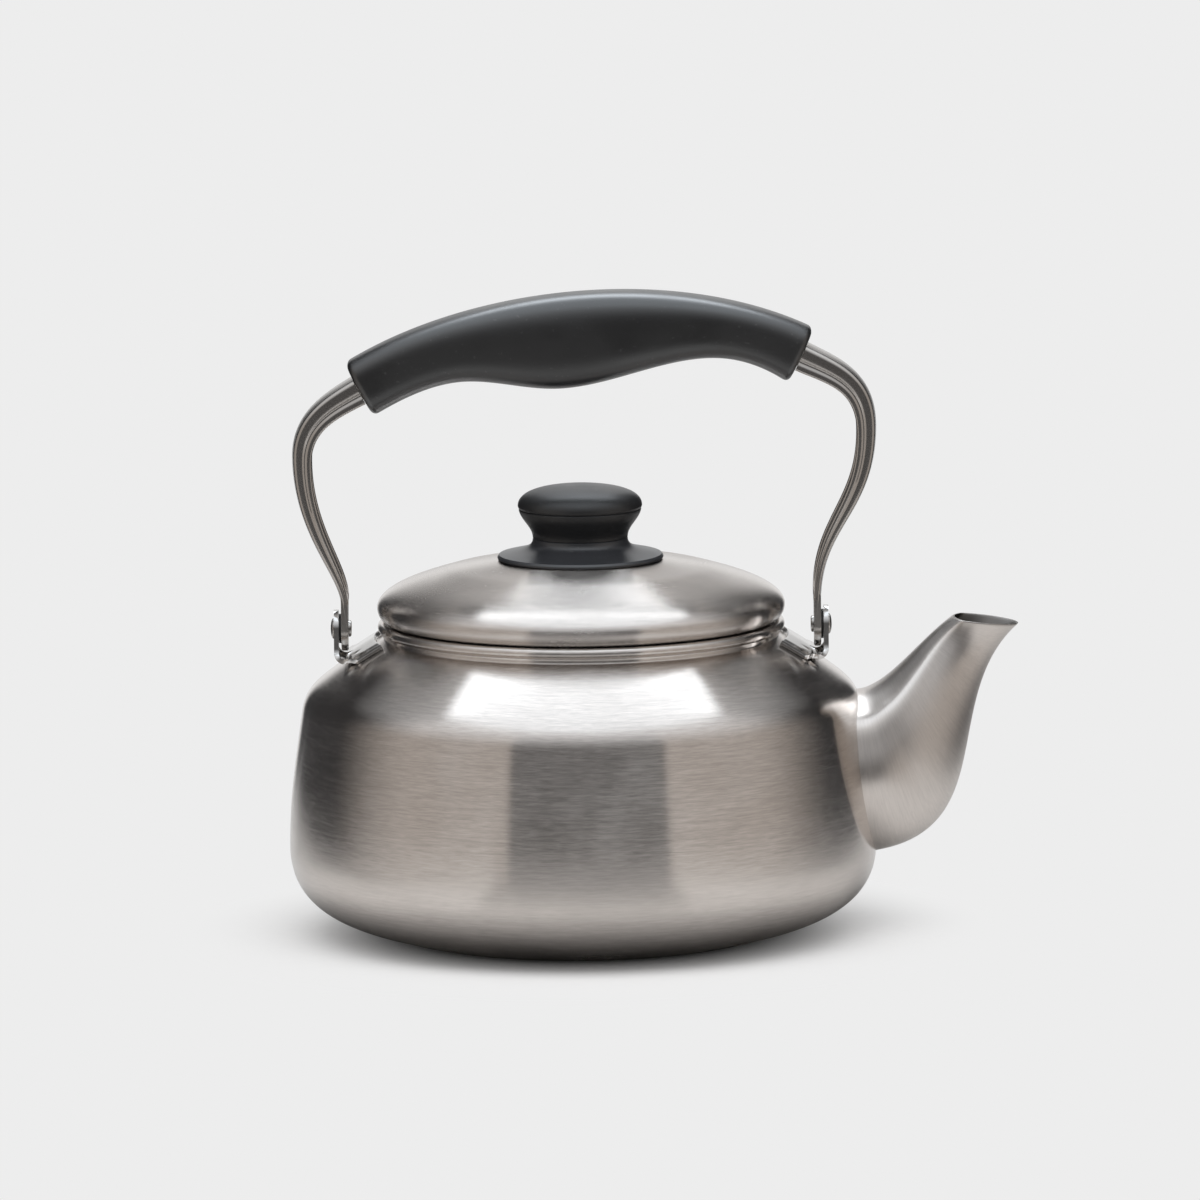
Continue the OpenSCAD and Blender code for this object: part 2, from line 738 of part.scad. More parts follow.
// Distance from the flange's edge to the edge of the flat seat
seat_inset = 1.3;
dome_edge = [dome_d / 2, lid_low + dome_edge_h];
dome_lean = asin(dome_edge[0] / dome_r);
dome_pole = dome_edge[1] + dome_r * (1 - cos(dome_lean));
function dome_height(r) = dome_pole - dome_r * (1 - cos(asin(r / dome_r)));
seat_r = flange_d / 2 - seat_inset;
seat_z = dome_height(seat_r);
screw_hole_r = knob_screw_d / 2 + knob_screw_gap;
lid_curl = [lid_r - curl_in, lid_low];
lid_side = [lid_r, lid_low + lid_roll_h];
lid_line = concat(
    [lid_curl],
    curve([lid_curl, lid_curl + [curl_turn_out, curl_turn_up], lid_side - [0, curl_pull], lid_side],
        curl_steps),
    curve(joined(lid_side, 90, side_pull, dome_edge, 180 - dome_lean, dome_pull)),
    [for (i = [1:dome_steps])
        let (r = dome_edge[0] + (seat_r - dome_edge[0]) * i / dome_steps)
        [r, dome_height(r)]],
    [[screw_hole_r, seat_z]]
);
lid_inner = inset(lid_line, lid_wall);
seat_under = seat_z - lid_wall;

module lid_shell() {
    color(steel)
    rotate_extrude($fn = round_fn)
    polygon(concat(lid_line, reversed(lid_inner)));
}

// Turned-in edge at the skirt's foot
skirt_turn = 1;

module lid_skirt() {
    skirt_r = neck_r - body_wall - skirt_clear;
    // The skirt is welded to the inside of the dome
    inner_edge = lookup(skirt_r - lid_r, [for (p = lid_inner) if (p[1] > lid_side[1]) [p[0] - lid_r, p[1]]]);
    low = rim_z - skirt_depth;
    top = inner_edge - lid_gap / 2;
    color(steel)
    rotate_extrude($fn = round_fn)
    polygon([
        [skirt_r - skirt_turn, low], [skirt_r, low + skirt_turn], [skirt_r, top],
        [skirt_r - skirt_wall, top], [skirt_r - skirt_wall, low + skirt_turn],
        [skirt_r - skirt_turn - skirt_wall, low]
    ]);
}

// Knob: a flared base, a tapered body and a domed cap, stacked on the lid's seat
waist_r = waist_d / 2;
knob_r = knob_d / 2;
waist_z = seat_z + knob_base_h;
cap_z = waist_z + knob_body_h;
// Rounding of the flange's edge, and the flare from it up to the waist
flange_round = 0.6;
flange_crown = 0.4;
flare_in = 8;
flare_rise = 1.8;
waist_pull = 3.4;
// The body's flare below the cap, the step of the joint, and the curves of the cap
body_pull = 3.6;
body_flare = 0.6;
joint_step = 0.3;
cap_edge_h = 1;
cap_side_pull = 6;
cap_pole_pull = 9;
cap_dome_steps = 10;

module knob_base() {
    rim = [flange_d / 2 - flange_round, seat_z + flange_edge + flange_crown];
    color(black)
    rotate_extrude($fn = round_fn)
    polygon(concat(
        [[screw_hole_r, seat_z], [flange_d / 2, seat_z], [flange_d / 2, seat_z + flange_edge], rim],
        curve([rim, rim + [-flare_in, flare_rise], [waist_r, waist_z - waist_pull], [waist_r, waist_z]]),
        [[screw_hole_r, waist_z]]
    ));
}

module knob_body() {
    edge = [knob_r - joint_step, cap_z];
    pocket_r = insert_d / 2 + knob_gap;
    spigot_r = spigot_d / 2 + knob_gap;
    spigot_z = cap_z - spigot_h - knob_gap;
    insert_z = waist_z + insert_len + knob_gap;
    color(black)
    rotate_extrude($fn = round_fn)
    polygon(concat(
        [[pocket_r, waist_z], [waist_r, waist_z]],
        curve([[waist_r, waist_z], [waist_r, waist_z + body_pull], edge - [body_flare, body_pull], edge]),
        [[spigot_r, cap_z], [spigot_r, spigot_z], [0, spigot_z], [0, insert_z], [pocket_r, insert_z]]
    ));
}

module knob_cap() {
    edge = [knob_r - joint_step, cap_z];
    widest = [knob_r, cap_z + cap_edge_h];
    pole = [0, cap_z + knob_cap_h];
    color(black)
    rotate_extrude($fn = round_fn)
    polygon(concat(
        [[0, cap_z - spigot_h], [spigot_d / 2, cap_z - spigot_h], [spigot_d / 2, cap_z], edge, widest],
        curve([widest, widest + [0, cap_side_pull], pole + [cap_pole_pull, 0], pole], cap_dome_steps)
    ));
}

module knob_insert() {
    color(brass)
    translate([0, 0, waist_z])
    difference() {
        cylinder(d = insert_d, h = insert_len, $fn = round_fn);
        translate([0, 0, -past])
        cylinder(r = knob_screw_d / 2 + knob_gap, h = insert_len + 2 * past, $fn = round_fn);
    }
}

module knob_washer() {
    color(polished)
    translate([0, 0, seat_under - knob_washer_t])
    difference() {
        cylinder(d = knob_washer_d, h = knob_washer_t, $fn = round_fn);
        translate([0, 0, -past])
        cylinder(r = screw_hole_r, h = knob_washer_t + 2 * past, $fn = round_fn);
    }
}

knob_head_chamfer = 1;
tip_chamfer = 0.6;

module knob_screw() {
    head_top = seat_under - knob_washer_t;
    tip = waist_z + insert_len - knob_gap;
    color(polished)
    rotate_extrude($fn = round_fn)
    polygon([
        [0, head_top - knob_head_h], [knob_head_d / 2 - knob_head_chamfer, head_top - knob_head_h],
        [knob_head_d / 2, head_top - knob_head_h + knob_head_chamfer], [knob_head_d / 2, head_top],
        [knob_screw_d / 2, head_top], [knob_screw_d / 2, tip - tip_chamfer],
        [knob_screw_d / 2 - tip_chamfer, tip], [0, tip]
    ]);
}

body_shell();
base_disc();
base_cap();
spout();
lug_left();
lug_right();
rivet_left();
rivet_right();
washer_left();
washer_right();
stem_left();
stem_right();
grip();
grip_screw_left();
grip_screw_right();
lid_shell();
lid_skirt();
knob_base();
knob_body();
knob_cap();
knob_insert();
knob_screw();
knob_washer();
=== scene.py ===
"""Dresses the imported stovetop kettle: its body, spout, lid, knob and swinging bail handle."""

import logging
import math
from contextlib import contextmanager
from dataclasses import dataclass
from enum import Enum
from typing import Callable, Dict, Iterator, Optional, Sequence, Tuple

import bmesh
import bpy
import numpy as np
from mathutils import Matrix, Vector


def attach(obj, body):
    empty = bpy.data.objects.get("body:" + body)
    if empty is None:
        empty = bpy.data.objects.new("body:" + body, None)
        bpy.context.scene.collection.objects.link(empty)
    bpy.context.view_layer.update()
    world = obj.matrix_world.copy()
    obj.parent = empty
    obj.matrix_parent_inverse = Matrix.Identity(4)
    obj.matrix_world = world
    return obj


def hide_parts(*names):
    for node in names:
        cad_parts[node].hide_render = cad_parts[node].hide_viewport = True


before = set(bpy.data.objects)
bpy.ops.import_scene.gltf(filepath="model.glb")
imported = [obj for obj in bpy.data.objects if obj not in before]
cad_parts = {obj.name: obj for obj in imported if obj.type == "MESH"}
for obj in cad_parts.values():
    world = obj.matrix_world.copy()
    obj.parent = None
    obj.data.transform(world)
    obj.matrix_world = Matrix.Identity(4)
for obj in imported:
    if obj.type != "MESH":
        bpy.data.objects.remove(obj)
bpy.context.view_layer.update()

MM = 0.001
SHARP = 32.0
STEM_SHARP = 40.0
WELD = 2e-6
LOG = logging.getLogger("kettle")
Array = np.ndarray
Pair = Tuple[float, float]
Triple = Tuple[float, float, float]
Colour = Triple
Row = Sequence[float]
Piece = bpy.types.Object
Mesh = bpy.types.Mesh
Material = bpy.types.Material
Socket = bpy.types.NodeSocket
Tree = bpy.types.NodeTree


class Body(Enum):
    """Bodies of the frame that pieces ride on."""

    KETTLE = "kettle"
    BAIL = "bail"
    LID = "lid"


class Slot(Enum):
    """Material slots of the record, passed with each new piece but not read."""

    BRUSHED = "brushed_steel"
    POLISHED = "polished_steel"
    PLASTIC = "black_plastic"


class Side(Enum):
    """The two ends of the bail: the spout is on the right."""

    LEFT = -1
    RIGHT = 1

    @property
    def word(self) -> str:
        """Name of the side as it stands in piece and node names."""
        return self.name.lower()


# Lines and curves, in millimetres


def heading(angle: float) -> Array:
    """Unit vector at an angle in degrees."""
    return np.array([math.cos(math.radians(angle)), math.sin(math.radians(angle))])


def circle(count: int, start: float = 0.0) -> Tuple[Array, Array]:
    """Cosines and sines of angles that go once round from start, in radians."""
    turn = np.linspace(0, 2 * math.pi, count, endpoint=False) + start
    return np.cos(turn), np.sin(turn)


def squared(wave: Array, power: object) -> Array:
    """A wave with its sign kept and its size raised to a power, which squares a ring's corners."""
    return np.sign(wave) * np.abs(wave) ** power


def bezier(knots: Sequence[Row], t: Array) -> Array:
    """Points of a cubic curve.

    Args:
        knots: Four control points.
        t: Parameters from 0 to 1.

    Returns:
        One row for each parameter.
    """
    a, b, c, d = (np.asarray(k, float) for k in knots)
    t = np.asarray(t, float)[:, None]
    u = 1 - t
    return u**3 * a + 3 * u * u * t * b + 3 * u * t * t * c + t**3 * d


def curve(a: Row, a_dir: float, b: Row, b_dir: float, pulls: Pair, t: Array) -> Array:
    """Points of a curve between two places, each with a direction in degrees.

    Args:
        a: Its start.
        a_dir: Direction in which it leaves a.
        b: Its end.
        b_dir: Direction in which it arrives at b.
        pulls: How far it keeps to each direction.
        t: Parameters from 0 to 1.

    Returns:
        One row for each parameter.
    """
    a, b = np.asarray(a, float), np.asarray(b, float)
    return bezier([a, a + pulls[0] * heading(a_dir), b - pulls[1] * heading(b_dir), b], t)


def shares_of(count: int) -> Array:
    """Evenly spaced parameters from 0 to 1, both ends included."""
    return np.linspace(0, 1, count)


def steps_of(count: int) -> Array:
    """Parameters of a stretch without its first point."""
    return shares_of(count + 1)[1:]


def straight(a: Row, b: Row, count: int) -> Array:
    """Points of a straight stretch without its first point."""
    a, b = np.asarray(a, float), np.asarray(b, float)
    return a + (b - a) * steps_of(count)[:, None]


def arc(centre: Row, radius: float, start: float, end: float, count: int) -> Array:
    """Points of an arc from angle start to angle end, in degrees, both ends included."""
    angles = np.linspace(start, end, count + 1)
    return np.array([np.asarray(centre) + radius * heading(a) for a in angles])


def inset(line: Array, depth: float) -> Array:
    """The same line moved to its left by depth.

    Args:
        line: Rows of points.
        depth: How far it moves.

    Returns:
        Rows of points.
    """
    run = np.gradient(line, axis=0)
    run /= np.maximum(np.linalg.norm(run, axis=1, keepdims=True), 1e-9)
    return line + depth * np.stack([-run[:, 1], run[:, 0]], axis=1)


def ease(x: Array) -> Array:
    """Smooth step from 0 to 1 as x goes from 0 to 1."""
    x = np.clip(x, 0, 1)
    return x * x * (3 - 2 * x)


# Meshes


def smoothed(mesh: Mesh, sharp: float = SHARP) -> None:
    """Makes every face smooth and every edge above an angle, in degrees, sharp."""
    mesh.polygons.foreach_set("use_smooth", [True] * len(mesh.polygons))
    mesh.set_sharp_from_angle(angle=math.radians(sharp))


def shown(name: str, data: bpy.types.ID) -> Piece:
    """A new object of the scene with the data given.

    Args:
        name: Its name.
        data: A mesh, a lamp's data or a camera's data.

    Returns:
        The object.
    """
    piece = bpy.data.objects.new(name, data)
    bpy.context.scene.collection.objects.link(piece)
    return piece


def placed(name: str, mesh: Mesh, sharp: float = SHARP) -> Piece:
    """A new object that shows a mesh with smooth faces and sharp corners."""
    smoothed(mesh, sharp)
    return shown(name, mesh)


def tool_from(name: str, shape: bmesh.types.BMesh) -> Piece:
    """An object made from an editable mesh, which is freed.

    Args:
        name: Its name.
        shape: The editable mesh.

    Returns:
        The object.
    """
    mesh = bpy.data.meshes.new(name)
    shape.to_mesh(mesh)
    shape.free()
    return placed(name, mesh)


@contextmanager
def edited(mesh: Mesh) -> Iterator[bmesh.types.BMesh]:
    """Gives a mesh to edit and puts it back with its faces turned outwards.

    Args:
        mesh: The mesh.

    Yields:
        The editable mesh.
    """
    shape = bmesh.new()
    shape.from_mesh(mesh)
    yield shape
    bmesh.ops.recalc_face_normals(shape, faces=shape.faces)
    shape.to_mesh(mesh)
    shape.free()


def skin(name: str, rings: Array, closed: bool = True, looped: bool = False,
         sharp: float = SHARP) -> Piece:
    """A smooth mesh through rings of points.

    Args:
        name: Name of the piece.
        rings: Rings by points by coordinates, in millimetres.
        closed: Whether each ring closes on its first point.
        looped: Whether the last ring joins the first.
        sharp: Angle in degrees above which an edge stays sharp.

    Returns:
        The object. Its UV map has the way across the rings as u, in metres, and the
        share of the way round a ring as v.
    """
    count, size = rings.shape[:2]
    gaps = np.linalg.norm(np.diff(rings, axis=0), axis=2).mean(axis=1) * MM
    if looped:
        gaps = np.append(gaps, np.linalg.norm(rings[0] - rings[-1], axis=1).mean() * MM)
    u = np.concatenate([[0.0], np.cumsum(gaps)])
    rows = count if looped else count - 1
    columns = size if closed else size - 1
    i, j = (a.ravel() for a in np.meshgrid(np.arange(rows), np.arange(columns), indexing="ij"))
    here, below, beside = i * size, (i + 1) % count * size, (j + 1) % size
    faces = np.stack([here + j, here + beside, below + beside, below + j], axis=1)
    uv = np.stack([
        np.stack([u[i], u[i], u[i + 1], u[i + 1]], axis=1),
        np.stack([j, j + 1, j + 1, j], axis=1) / columns,
    ], axis=2)
    mesh = bpy.data.meshes.new(name)
    mesh.from_pydata((rings.reshape(-1, 3) * MM).tolist(), [], faces.tolist())
    mesh.uv_layers.new(name="UVMap").data.foreach_set("uv", uv.reshape(-1))
    with edited(mesh) as shape:
        bmesh.ops.remove_doubles(shape, verts=shape.verts, dist=WELD)
    return placed(name, mesh, sharp)


def turned(name: str, profile: Array, around: int, looped: bool = False,
           lay: Optional[Callable[[Array], Array]] = None) -> Piece:
    """A piece turned on a lathe.

    Args:
        name: Name of the piece.
        profile: Rows of radius and height, in millimetres.
        around: Number of steps round the axis.
        looped: Whether the profile closes on its first point.
        lay: What moves the points from the upright axis to their place.

    Returns:
        The object.
    """
    # The seam of the map lies at the back
    c, s = circle(around, math.pi / 2)
    radius, height = profile[:, :1], profile[:, 1:]
    rings = np.stack([radius * c, radius * s, height + 0 * c], axis=2)
    return skin(name, lay(rings) if lay else rings, looped=looped)


def capped(piece: Piece) -> None:
    """Fills the open ends of a tube with faces.

    Args:
        piece: The tube.
    """
    with edited(piece.data) as shape:
        bmesh.ops.holes_fill(shape, edges=[e for e in shape.edges if e.is_boundary])
        bmesh.ops.triangulate(shape, faces=[f for f in shape.faces if len(f.verts) > 4])


def baked_modifiers(piece: Piece, sharp: float = SHARP) -> None:
    """Applies a piece's modifiers to its mesh.

    Args:
        piece: The piece.
        sharp: Angle in degrees above which an edge stays sharp.
    """
    shape = piece.evaluated_get(bpy.context.evaluated_depsgraph_get())
    mesh = bpy.data.meshes.new_from_object(shape)
    piece.modifiers.clear()
    piece.data = mesh
    smoothed(mesh, sharp)


def combined(piece: Piece, tool: Piece, operation: str = "DIFFERENCE",
             sharp: float = SHARP) -> None:
    """Cuts a tool out of a piece, or joins it to the piece, and removes the tool.

    Args:
        piece: The piece that is kept.
        tool: A closed mesh.
        operation: DIFFERENCE or UNION.
        sharp: Angle above which an edge of the result stays sharp.
    """
    step = piece.modifiers.new("join", "BOOLEAN")
    step.operation = operation
    step.solver = "EXACT"
    step.object = tool
    baked_modifiers(piece, sharp)
    bpy.data.objects.remove(tool)


def drill(centre: Row, direction: Row, radius: float, length: float,
          around: int = 48) -> Piece:
    """A closed round bar that is used to cut a hole.

    Args:
        centre: Middle of the bar, in millimetres.
        direction: Direction of its axis.
        radius: Radius of the hole.
        length: Length of the bar.
        around: Number of sides.

    Returns:
        The bar.
    """
    bar = bmesh.new()
    bmesh.ops.create_cone(bar, cap_ends=True, segments=around, radius1=radius * MM,
                          radius2=radius * MM, depth=length * MM)
    turn = Vector((0, 0, 1)).rotation_difference(Vector(direction)).to_matrix().to_4x4()
    bar.transform(Matrix.Translation(Vector(centre) * MM) @ turn)
    return tool_from("drill", bar)


# Materials


class Graph:
    """A short way to write a node tree."""

    def __init__(self, tree: Tree) -> None:
        """Starts on a tree that may hold nodes already."""
        self.tree = tree

    def add(self, kind: str, inputs: Optional[dict] = None, **settings: object) -> bpy.types.Node:
        """Adds a node.

        Args:
            kind: Name of the node's class, without its ShaderNode prefix.
            inputs: Sockets' names or numbers with a value, or with a socket to link from.
            **settings: Properties of the node.

        Returns:
            The node.
        """
        node = self.tree.nodes.new("ShaderNode" + kind)
        for key, value in settings.items():
            setattr(node, key, value)
        self.feed(node, inputs or {})
        return node

    def feed(self, node: bpy.types.Node, inputs: dict) -> None:
        """Links or sets a node's inputs.

        Args:
            node: The node.
            inputs: Sockets' names or numbers with a value, or with a socket to link from.
        """
        for key, value in inputs.items():
            if isinstance(value, Socket):
                self.tree.links.new(value, node.inputs[key])
            else:
                node.inputs[key].default_value = value

    def math(self, operation: str, a: object, b: object = 0.0) -> Socket:
        """Result of a math node."""
        return self.add("Math", {0: a, 1: b}, operation=operation).outputs[0]

    def times(self, a: object, b: object) -> Socket:
        """Product of two values."""
        return self.math("MULTIPLY", a, b)

    def ramp(self, value: object, low: float, high: float, to_low: float = 0.0,
             to_high: float = 1.0, smooth: bool = True) -> Socket:
        """Value mapped from one range to another and held at its ends.

        Args:
            value: The value.
            low: Start of its range.
            high: End of its range.
            to_low: Result at the start.
            to_high: Result at the end.
            smooth: Whether the way between is eased.

        Returns:
            The mapped value.
        """
        kind = "SMOOTHSTEP" if smooth else "LINEAR"
        return self.add("MapRange", {0: value, 1: low, 2: high, 3: to_low, 4: to_high},
                        interpolation_type=kind).outputs[0]

    def noise(self, place: Socket, scale: object, detail: float, **more: float) -> Socket:
        """Noise at a place, where more may hold Roughness and Distortion."""
        inputs = {"Vector": place, "Scale": scale, "Detail": detail, **more}
        return self.add("TexNoise", inputs).outputs[0]

    def blend(self, share: object, a: object, b: object) -> Socket:
        """Colour between a and b."""
        return self.add("Mix", {0: share, 6: a, 7: b}, data_type="RGBA").outputs[2]

    def mixed(self, share: Socket, a: Socket, b: Socket) -> Socket:
        """Shader between a and b."""
        return self.add("MixShader", {0: share, 1: a, 2: b}).outputs[0]

    def glow(self, colour: object, strength: object) -> Socket:
        """Shader that gives off light."""
        return self.add("Emission", {"Color": colour, "Strength": strength}).outputs[0]

    def clear(self) -> Socket:
        """Shader that lets everything through."""
        return self.add("BsdfTransparent").outputs[0]


def rgba(colour: Colour, share: float = 1.0) -> Tuple[float, float, float, float]:
    """Colour scaled by share, with full alpha."""
    return (colour[0] * share, colour[1] * share, colour[2] * share, 1.0)


def new_material(name: str, bare: bool = False) -> Tuple[Material, Graph]:
    """A material with nodes.

    Args:
        name: Its name.
        bare: Whether its nodes are cleared.

    Returns:
        The material and the graph of its tree.
    """
    made = bpy.data.materials.new(name)
    made.use_nodes = True
    if bare:
        made.node_tree.nodes.clear()
    return made, Graph(made.node_tree)


def new_group(name: str, inputs: Dict[str, Optional[float]],
              outputs: Sequence[str]) -> Tuple[Graph, bpy.types.NodeOutputs, bpy.types.Node]:
    """A shader node group with named sockets.

    Args:
        name: Name of the group.
        inputs: Inputs and their defaults. One without a default is a vector.
        outputs: Names of the outputs, which are values.

    Returns:
        The graph of its tree, what comes in, and its output node.
    """
    tree = bpy.data.node_groups.new(name, "ShaderNodeTree")
    for label, default in inputs.items():
        kind = "NodeSocketVector" if default is None else "NodeSocketFloat"
        socket = tree.interface.new_socket(label, in_out="INPUT", socket_type=kind)
        if default is not None:
            socket.default_value = default
    for label in outputs:
        tree.interface.new_socket(label, in_out="OUTPUT", socket_type="NodeSocketFloat")
    entry = tree.nodes.new("NodeGroupInput")
    return Graph(tree), entry.outputs, tree.nodes.new("NodeGroupOutput")


class Effects:
    """Shader node groups that several finishes share."""

    def __init__(self) -> None:
        """Builds each group once."""
        self.brushing = self._brushing()
        self.handling = self._handling()
        self.moulding = self._moulding()

    @staticmethod
    def _brushing() -> Tree:
        """Fine lines left by a brush that ran round the piece, along v of its map.

        Returns:
            The group's tree.
        """
        g, entry, out = new_group("brush_lines", {"Map": None, "Around": 3.3, "Across": 1500.0},
                                  ["Tone", "Height", "Scratch"])
        split = g.add("SeparateXYZ", {0: entry["Map"]})
        turn = g.times(split.outputs[1], 2 * math.pi)
        x = g.times(g.math("COSINE", turn), entry["Around"])
        y = g.times(g.math("SINE", turn), entry["Around"])
        z = g.times(split.outputs[0], entry["Across"])
        spot = g.add("CombineXYZ", {0: x, 1: y, 2: z}).outputs[0]
        broad_spot, scratch_spot = (
            g.add("Mapping", {"Vector": spot, "Scale": scale}).outputs[0]
            for scale in ((0.25, 0.25, 0.45), (1.6, 1.6, 0.5))
        )
        fine = g.noise(spot, 1.0, 2.0, Roughness=0.6)
        broad = g.noise(broad_spot, 1.0, 2.0)
        scratch = g.noise(scratch_spot, 1.3, 1.0)
        tone = g.math("ADD", g.times(fine, 0.6), g.times(broad, 0.4))
        g.feed(out, {"Tone": g.ramp(tone, 0.3, 0.7, smooth=False), "Height": fine,
                     "Scratch": g.ramp(scratch, 0.66, 0.74)})
        return g.tree

    @staticmethod
    def _handling() -> Tree:
        """Soft patches where a surface has been wiped and touched, and fine specks.

        Returns:
            The group's tree.
        """
        g, entry, out = new_group("handling_marks", {"Place": None, "Scale": 30.0},
                                  ["Patch", "Speck"])
        patch = g.noise(entry["Place"], entry["Scale"], 4.0, Distortion=0.4)
        speck = g.noise(entry["Place"], g.times(entry["Scale"], 26.0), 1.0)
        g.feed(out, {"Patch": g.ramp(patch, 0.38, 0.66), "Speck": g.ramp(speck, 0.7, 0.76)})
        return g.tree

    @staticmethod
    def _moulding() -> Tree:
        """Fine spark-eroded grain of moulded plastic over a slight ripple.

        Returns:
            The group's tree.
        """
        g, entry, out = new_group("moulded_grain", {"Place": None, "Scale": 2600.0},
                                  ["Height", "Tone"])
        grain = g.noise(entry["Place"], entry["Scale"], 2.0, Roughness=0.6)
        ripple = g.noise(entry["Place"], 90.0, 1.0)
        height = g.math("ADD", g.times(grain, 0.75), g.times(ripple, 0.25))
        g.feed(out, {"Height": height, "Tone": g.ramp(grain, 0.3, 0.7, smooth=False)})
        return g.tree


@dataclass(frozen=True)
class Finish:
    """What metals and plastics share."""

    name: str
    colour: Colour
    roughness: float

    def shade(self, g: Graph, colour: Socket, rough: Socket, height: Socket, depth: float,
              **constants: float) -> None:
        """Sets the shader's sockets.

        Args:
            g: Graph of the material.
            colour: Its colour.
            rough: Its roughness.
            height: Relief of its surface.
            depth: Depth of the relief in metres.
            **constants: Other sockets of the shader, with _ for each space.
        """
        bump = g.add("Bump", {"Height": height, "Strength": 1.0, "Distance": depth})
        g.feed(g.tree.nodes["Principled BSDF"], {
            "Base Color": colour, "Roughness": rough, "Normal": bump.outputs[0],
            **{label.replace("_", " "): value for label, value in constants.items()},
        })


@dataclass(frozen=True)
class Metal(Finish):
    """A bare metal finish, brushed along v of the piece's map or plain, with optional painted
    shade past a place along the map.
    """

    anisotropy: float = 0.0
    around: float = 3.3
    across: float = 1500.0
    line_depth: float = 0.000004
    tone_spread: float = 0.15
    rough_spread: float = 0.05
    mapped: bool = True
    scratch_share: float = 0.16
    scratch_tone: float = 0.72
    # Painted shade: past inside_from along the map the colour darkens towards the inside tone, for
    # the shade inside the spout; inside_rough also makes it rougher.
    inside_from: float = 0.0
    inside_fade: float = 0.002
    inside_shade_tone: float = 0.32
    inside_rough: float = 0.15

    def material(self, effects: Effects) -> Material:
        """Makes the material.

        Args:
            effects: The shared node groups.

        Returns:
            The material.
        """
        made, g = new_material(self.name)
        place = g.add("TexCoord").outputs
        spot = place["UV" if self.mapped else "Object"]
        lines = g.add("Group", {"Map": spot, "Around": self.around, "Across": self.across},
                      node_tree=effects.brushing).outputs
        marks = g.add("Group", {"Place": place["Object"]}, node_tree=effects.handling).outputs
        half = self.rough_spread / 2
        colour = g.blend(lines["Tone"], rgba(self.colour, 1 - self.tone_spread),
                         rgba(self.colour, 1 + self.tone_spread))
        colour = g.blend(g.times(lines["Scratch"], self.scratch_share), colour,
                         rgba(self.colour, self.scratch_tone))
        rough = g.math("ADD", g.ramp(lines["Tone"], 0, 1, self.roughness - half,
                                     self.roughness + half, smooth=False),
                       g.times(marks["Patch"], self.rough_spread))
        # Painted shade inside the tube: the colour darkens past inside_from and the surface grows
        # rougher.
        if self.inside_from:
            along = g.add("SeparateXYZ", {0: spot}).outputs[0]
            inside = g.ramp(along, self.inside_from, self.inside_from + self.inside_fade)
            colour = g.blend(inside, colour, rgba(self.colour, self.inside_shade_tone))
            rough = g.math("ADD", rough, g.times(inside, self.inside_rough))
        self.shade(g, colour, rough, lines["Height"], self.line_depth, Metallic=1.0)
        if self.anisotropy:
            tangent = g.add("Tangent", direction_type="UV_MAP", uv_map="UVMap").outputs[0]
            g.feed(made.node_tree.nodes["Principled BSDF"],
                   {"Anisotropic": self.anisotropy, "Tangent": tangent})
        return made


@dataclass(frozen=True)
class Plastic(Finish):
    """A moulded plastic finish."""

    specular: float = 0.5
    ior: float = 1.5
    grain: float = 2600.0
    grain_depth: float = 0.00002
    grain_tones: Pair = (0.86, 1.1)
    speck_share: float = 0.25
    speck_tone: float = 0.09
    rough_spread: float = 0.07

    def material(self, effects: Effects) -> Material:
        """Makes the material.

        Args:
            effects: The shared node groups.

        Returns:
            The material.
        """
        made, g = new_material(self.name)
        place = g.add("TexCoord").outputs["Object"]
        relief = g.add("Group", {"Place": place, "Scale": self.grain},
                       node_tree=effects.moulding).outputs
        marks = g.add("Group", {"Place": place}, node_tree=effects.handling).outputs
        low, high = (rgba(self.colour, tone) for tone in self.grain_tones)
        colour = g.blend(relief["Tone"], low, high)
        colour = g.blend(g.times(marks["Speck"], self.speck_share), colour,
                         rgba((self.speck_tone,) * 3))
        rough = g.ramp(marks["Patch"], 0, 1, self.roughness, self.roughness + self.rough_spread)
        self.shade(g, colour, rough, relief["Height"], self.grain_depth,
                   Specular_IOR_Level=self.specular, IOR=self.ior)
        return made


STEEL = (0.62, 0.575, 0.54)
UNMAPPED = {"around": 2.0, "mapped": False}
PRESSED = {"across": 500, "tone_spread": 0.06, "line_depth": 0.000002, **UNMAPPED}
FINE_GRAIN = {"grain": 2200, "grain_depth": 0.000012}


